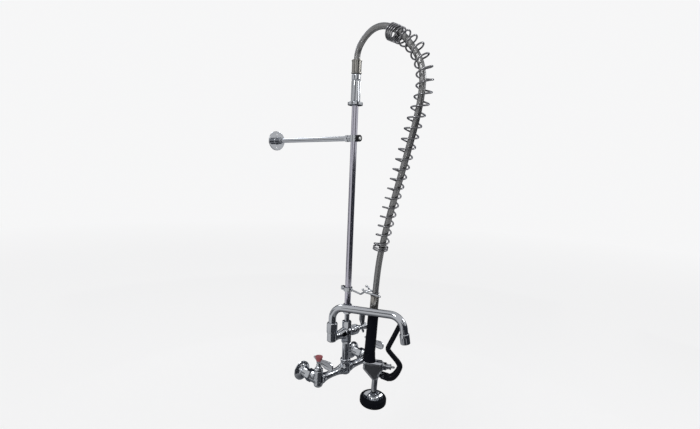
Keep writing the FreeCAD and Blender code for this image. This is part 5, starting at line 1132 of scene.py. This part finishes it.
class FAUCET_OT_levers(Operator):
    """Paddle levers of the three valves"""

    bl_idname = "faucet.levers"
    bl_label = "Levers"

    def execute(self, context):
        sizes = context.scene.faucet_levers
        for side, place in VALVES.items():
            lever = formed(f"{side}_paddle", lambda form: self.build(form, sizes, place),
                           "chrome", f"{side}_handle")
            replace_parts(soften(lever, width=0.0006), f"{side}_lever")
        return {"FINISHED"}

    def build(self, form, sizes, place):
        half = sizes.thickness / 2
        tip = 0.012
        height = 0.0505
        outline = [(0.0035, 0.0474), (-0.006, 0.0468), (-0.024, height - tip)]
        outline += half_round((tip - sizes.reach, height), tip, -0.5, -1, 16)
        outline += [(-0.024, 0.0606), (-0.0103, 0.059), (-0.0073, 0.0517), (0.0035, 0.0517)]
        levels = [(0.0042, -half + sizes.dish), (0.0030, -half + sizes.dish * 0.8), (0.0020, -half),
                  (0.0010, -half), (0, -half + 0.0010), (0, half - 0.0010), (0.0010, half), (0.0020, half),
                  (0.0030, half - sizes.dish * 0.8), (0.0042, half - sizes.dish)]
        upright = place @ Matrix(((0, 0, 1), (1, 0, 0), (0, 1, 0))).to_4x4()
        slab(form, outline, levels, upright)
        tail = [(0.0035, 0.0475), (0.0165, 0.0540)] + half_round((0.0165, 0.057), 0.003, -0.5, 1, 8)
        tail += [(0.0103, 0.0590), (0.0073, 0.0517), (0.0035, 0.0517)]
        slab(form, tail, [(0.0008, -half), (0, -half + 0.0008), (0, half - 0.0008), (0.0008, half)], upright)
        hub = rounded_profile([
            (0, 0.0463), (0.0046, 0.0463), (0.0060, 0.0463), (0.0062, 0.0488), (0.0068, 0.0510),
            (0.0068, 0.0520), (0, 0.0520),
        ], 0.0006)
        turn(form, hub, sides=48, place=place)


CLASSES = (
    StageSizes, HoseSizes, SpringSizes, LeverSizes, HandsetSizes, MetalColours,
    FAUCET_OT_stage, FAUCET_OT_hose, FAUCET_OT_spring, FAUCET_OT_metal, FAUCET_OT_castings, FAUCET_OT_bonnets,
    FAUCET_OT_fittings, FAUCET_OT_handset, FAUCET_OT_levers,
)
GROUPS = {
    "faucet_stage": StageSizes, "faucet_hose": HoseSizes, "faucet_spring": SpringSizes,
    "faucet_levers": LeverSizes, "faucet_handset": HandsetSizes, "faucet_metals": MetalColours,
}


class FAUCET_PT_pieces(Panel):
    """Lists the faucet's pieces"""

    bl_idname = "FAUCET_PT_pieces"
    bl_label = "Faucet"
    bl_space_type = "VIEW_3D"
    bl_region_type = "UI"
    bl_category = "Faucet"

    def draw(self, context):
        for operator in CLASSES:
            if issubclass(operator, Operator):
                self.layout.operator(operator.bl_idname)
        for group in GROUPS:
            box = self.layout.box()
            settings = getattr(context.scene, group)
            for name in settings.bl_rna.properties.keys():
                if name not in ("rna_type", "name"):
                    box.prop(settings, name)


def register():
    for item in (*CLASSES, FAUCET_PT_pieces):
        bpy.utils.register_class(item)
    for name, group in GROUPS.items():
        setattr(bpy.types.Scene, name, PointerProperty(type=group))


def unregister():
    for name in GROUPS:
        delattr(bpy.types.Scene, name)
    for item in reversed((*CLASSES, FAUCET_PT_pieces)):
        bpy.utils.unregister_class(item)


def main():
    register()
    bpy.ops.faucet.stage()
    bpy.ops.faucet.hose()
    bpy.ops.faucet.spring()
    bpy.ops.faucet.metal()
    bpy.ops.faucet.castings()
    bpy.ops.faucet.bonnets()
    bpy.ops.faucet.fittings()
    bpy.ops.faucet.handset()
    bpy.ops.faucet.levers()


if __name__ == "__main__":
    main()
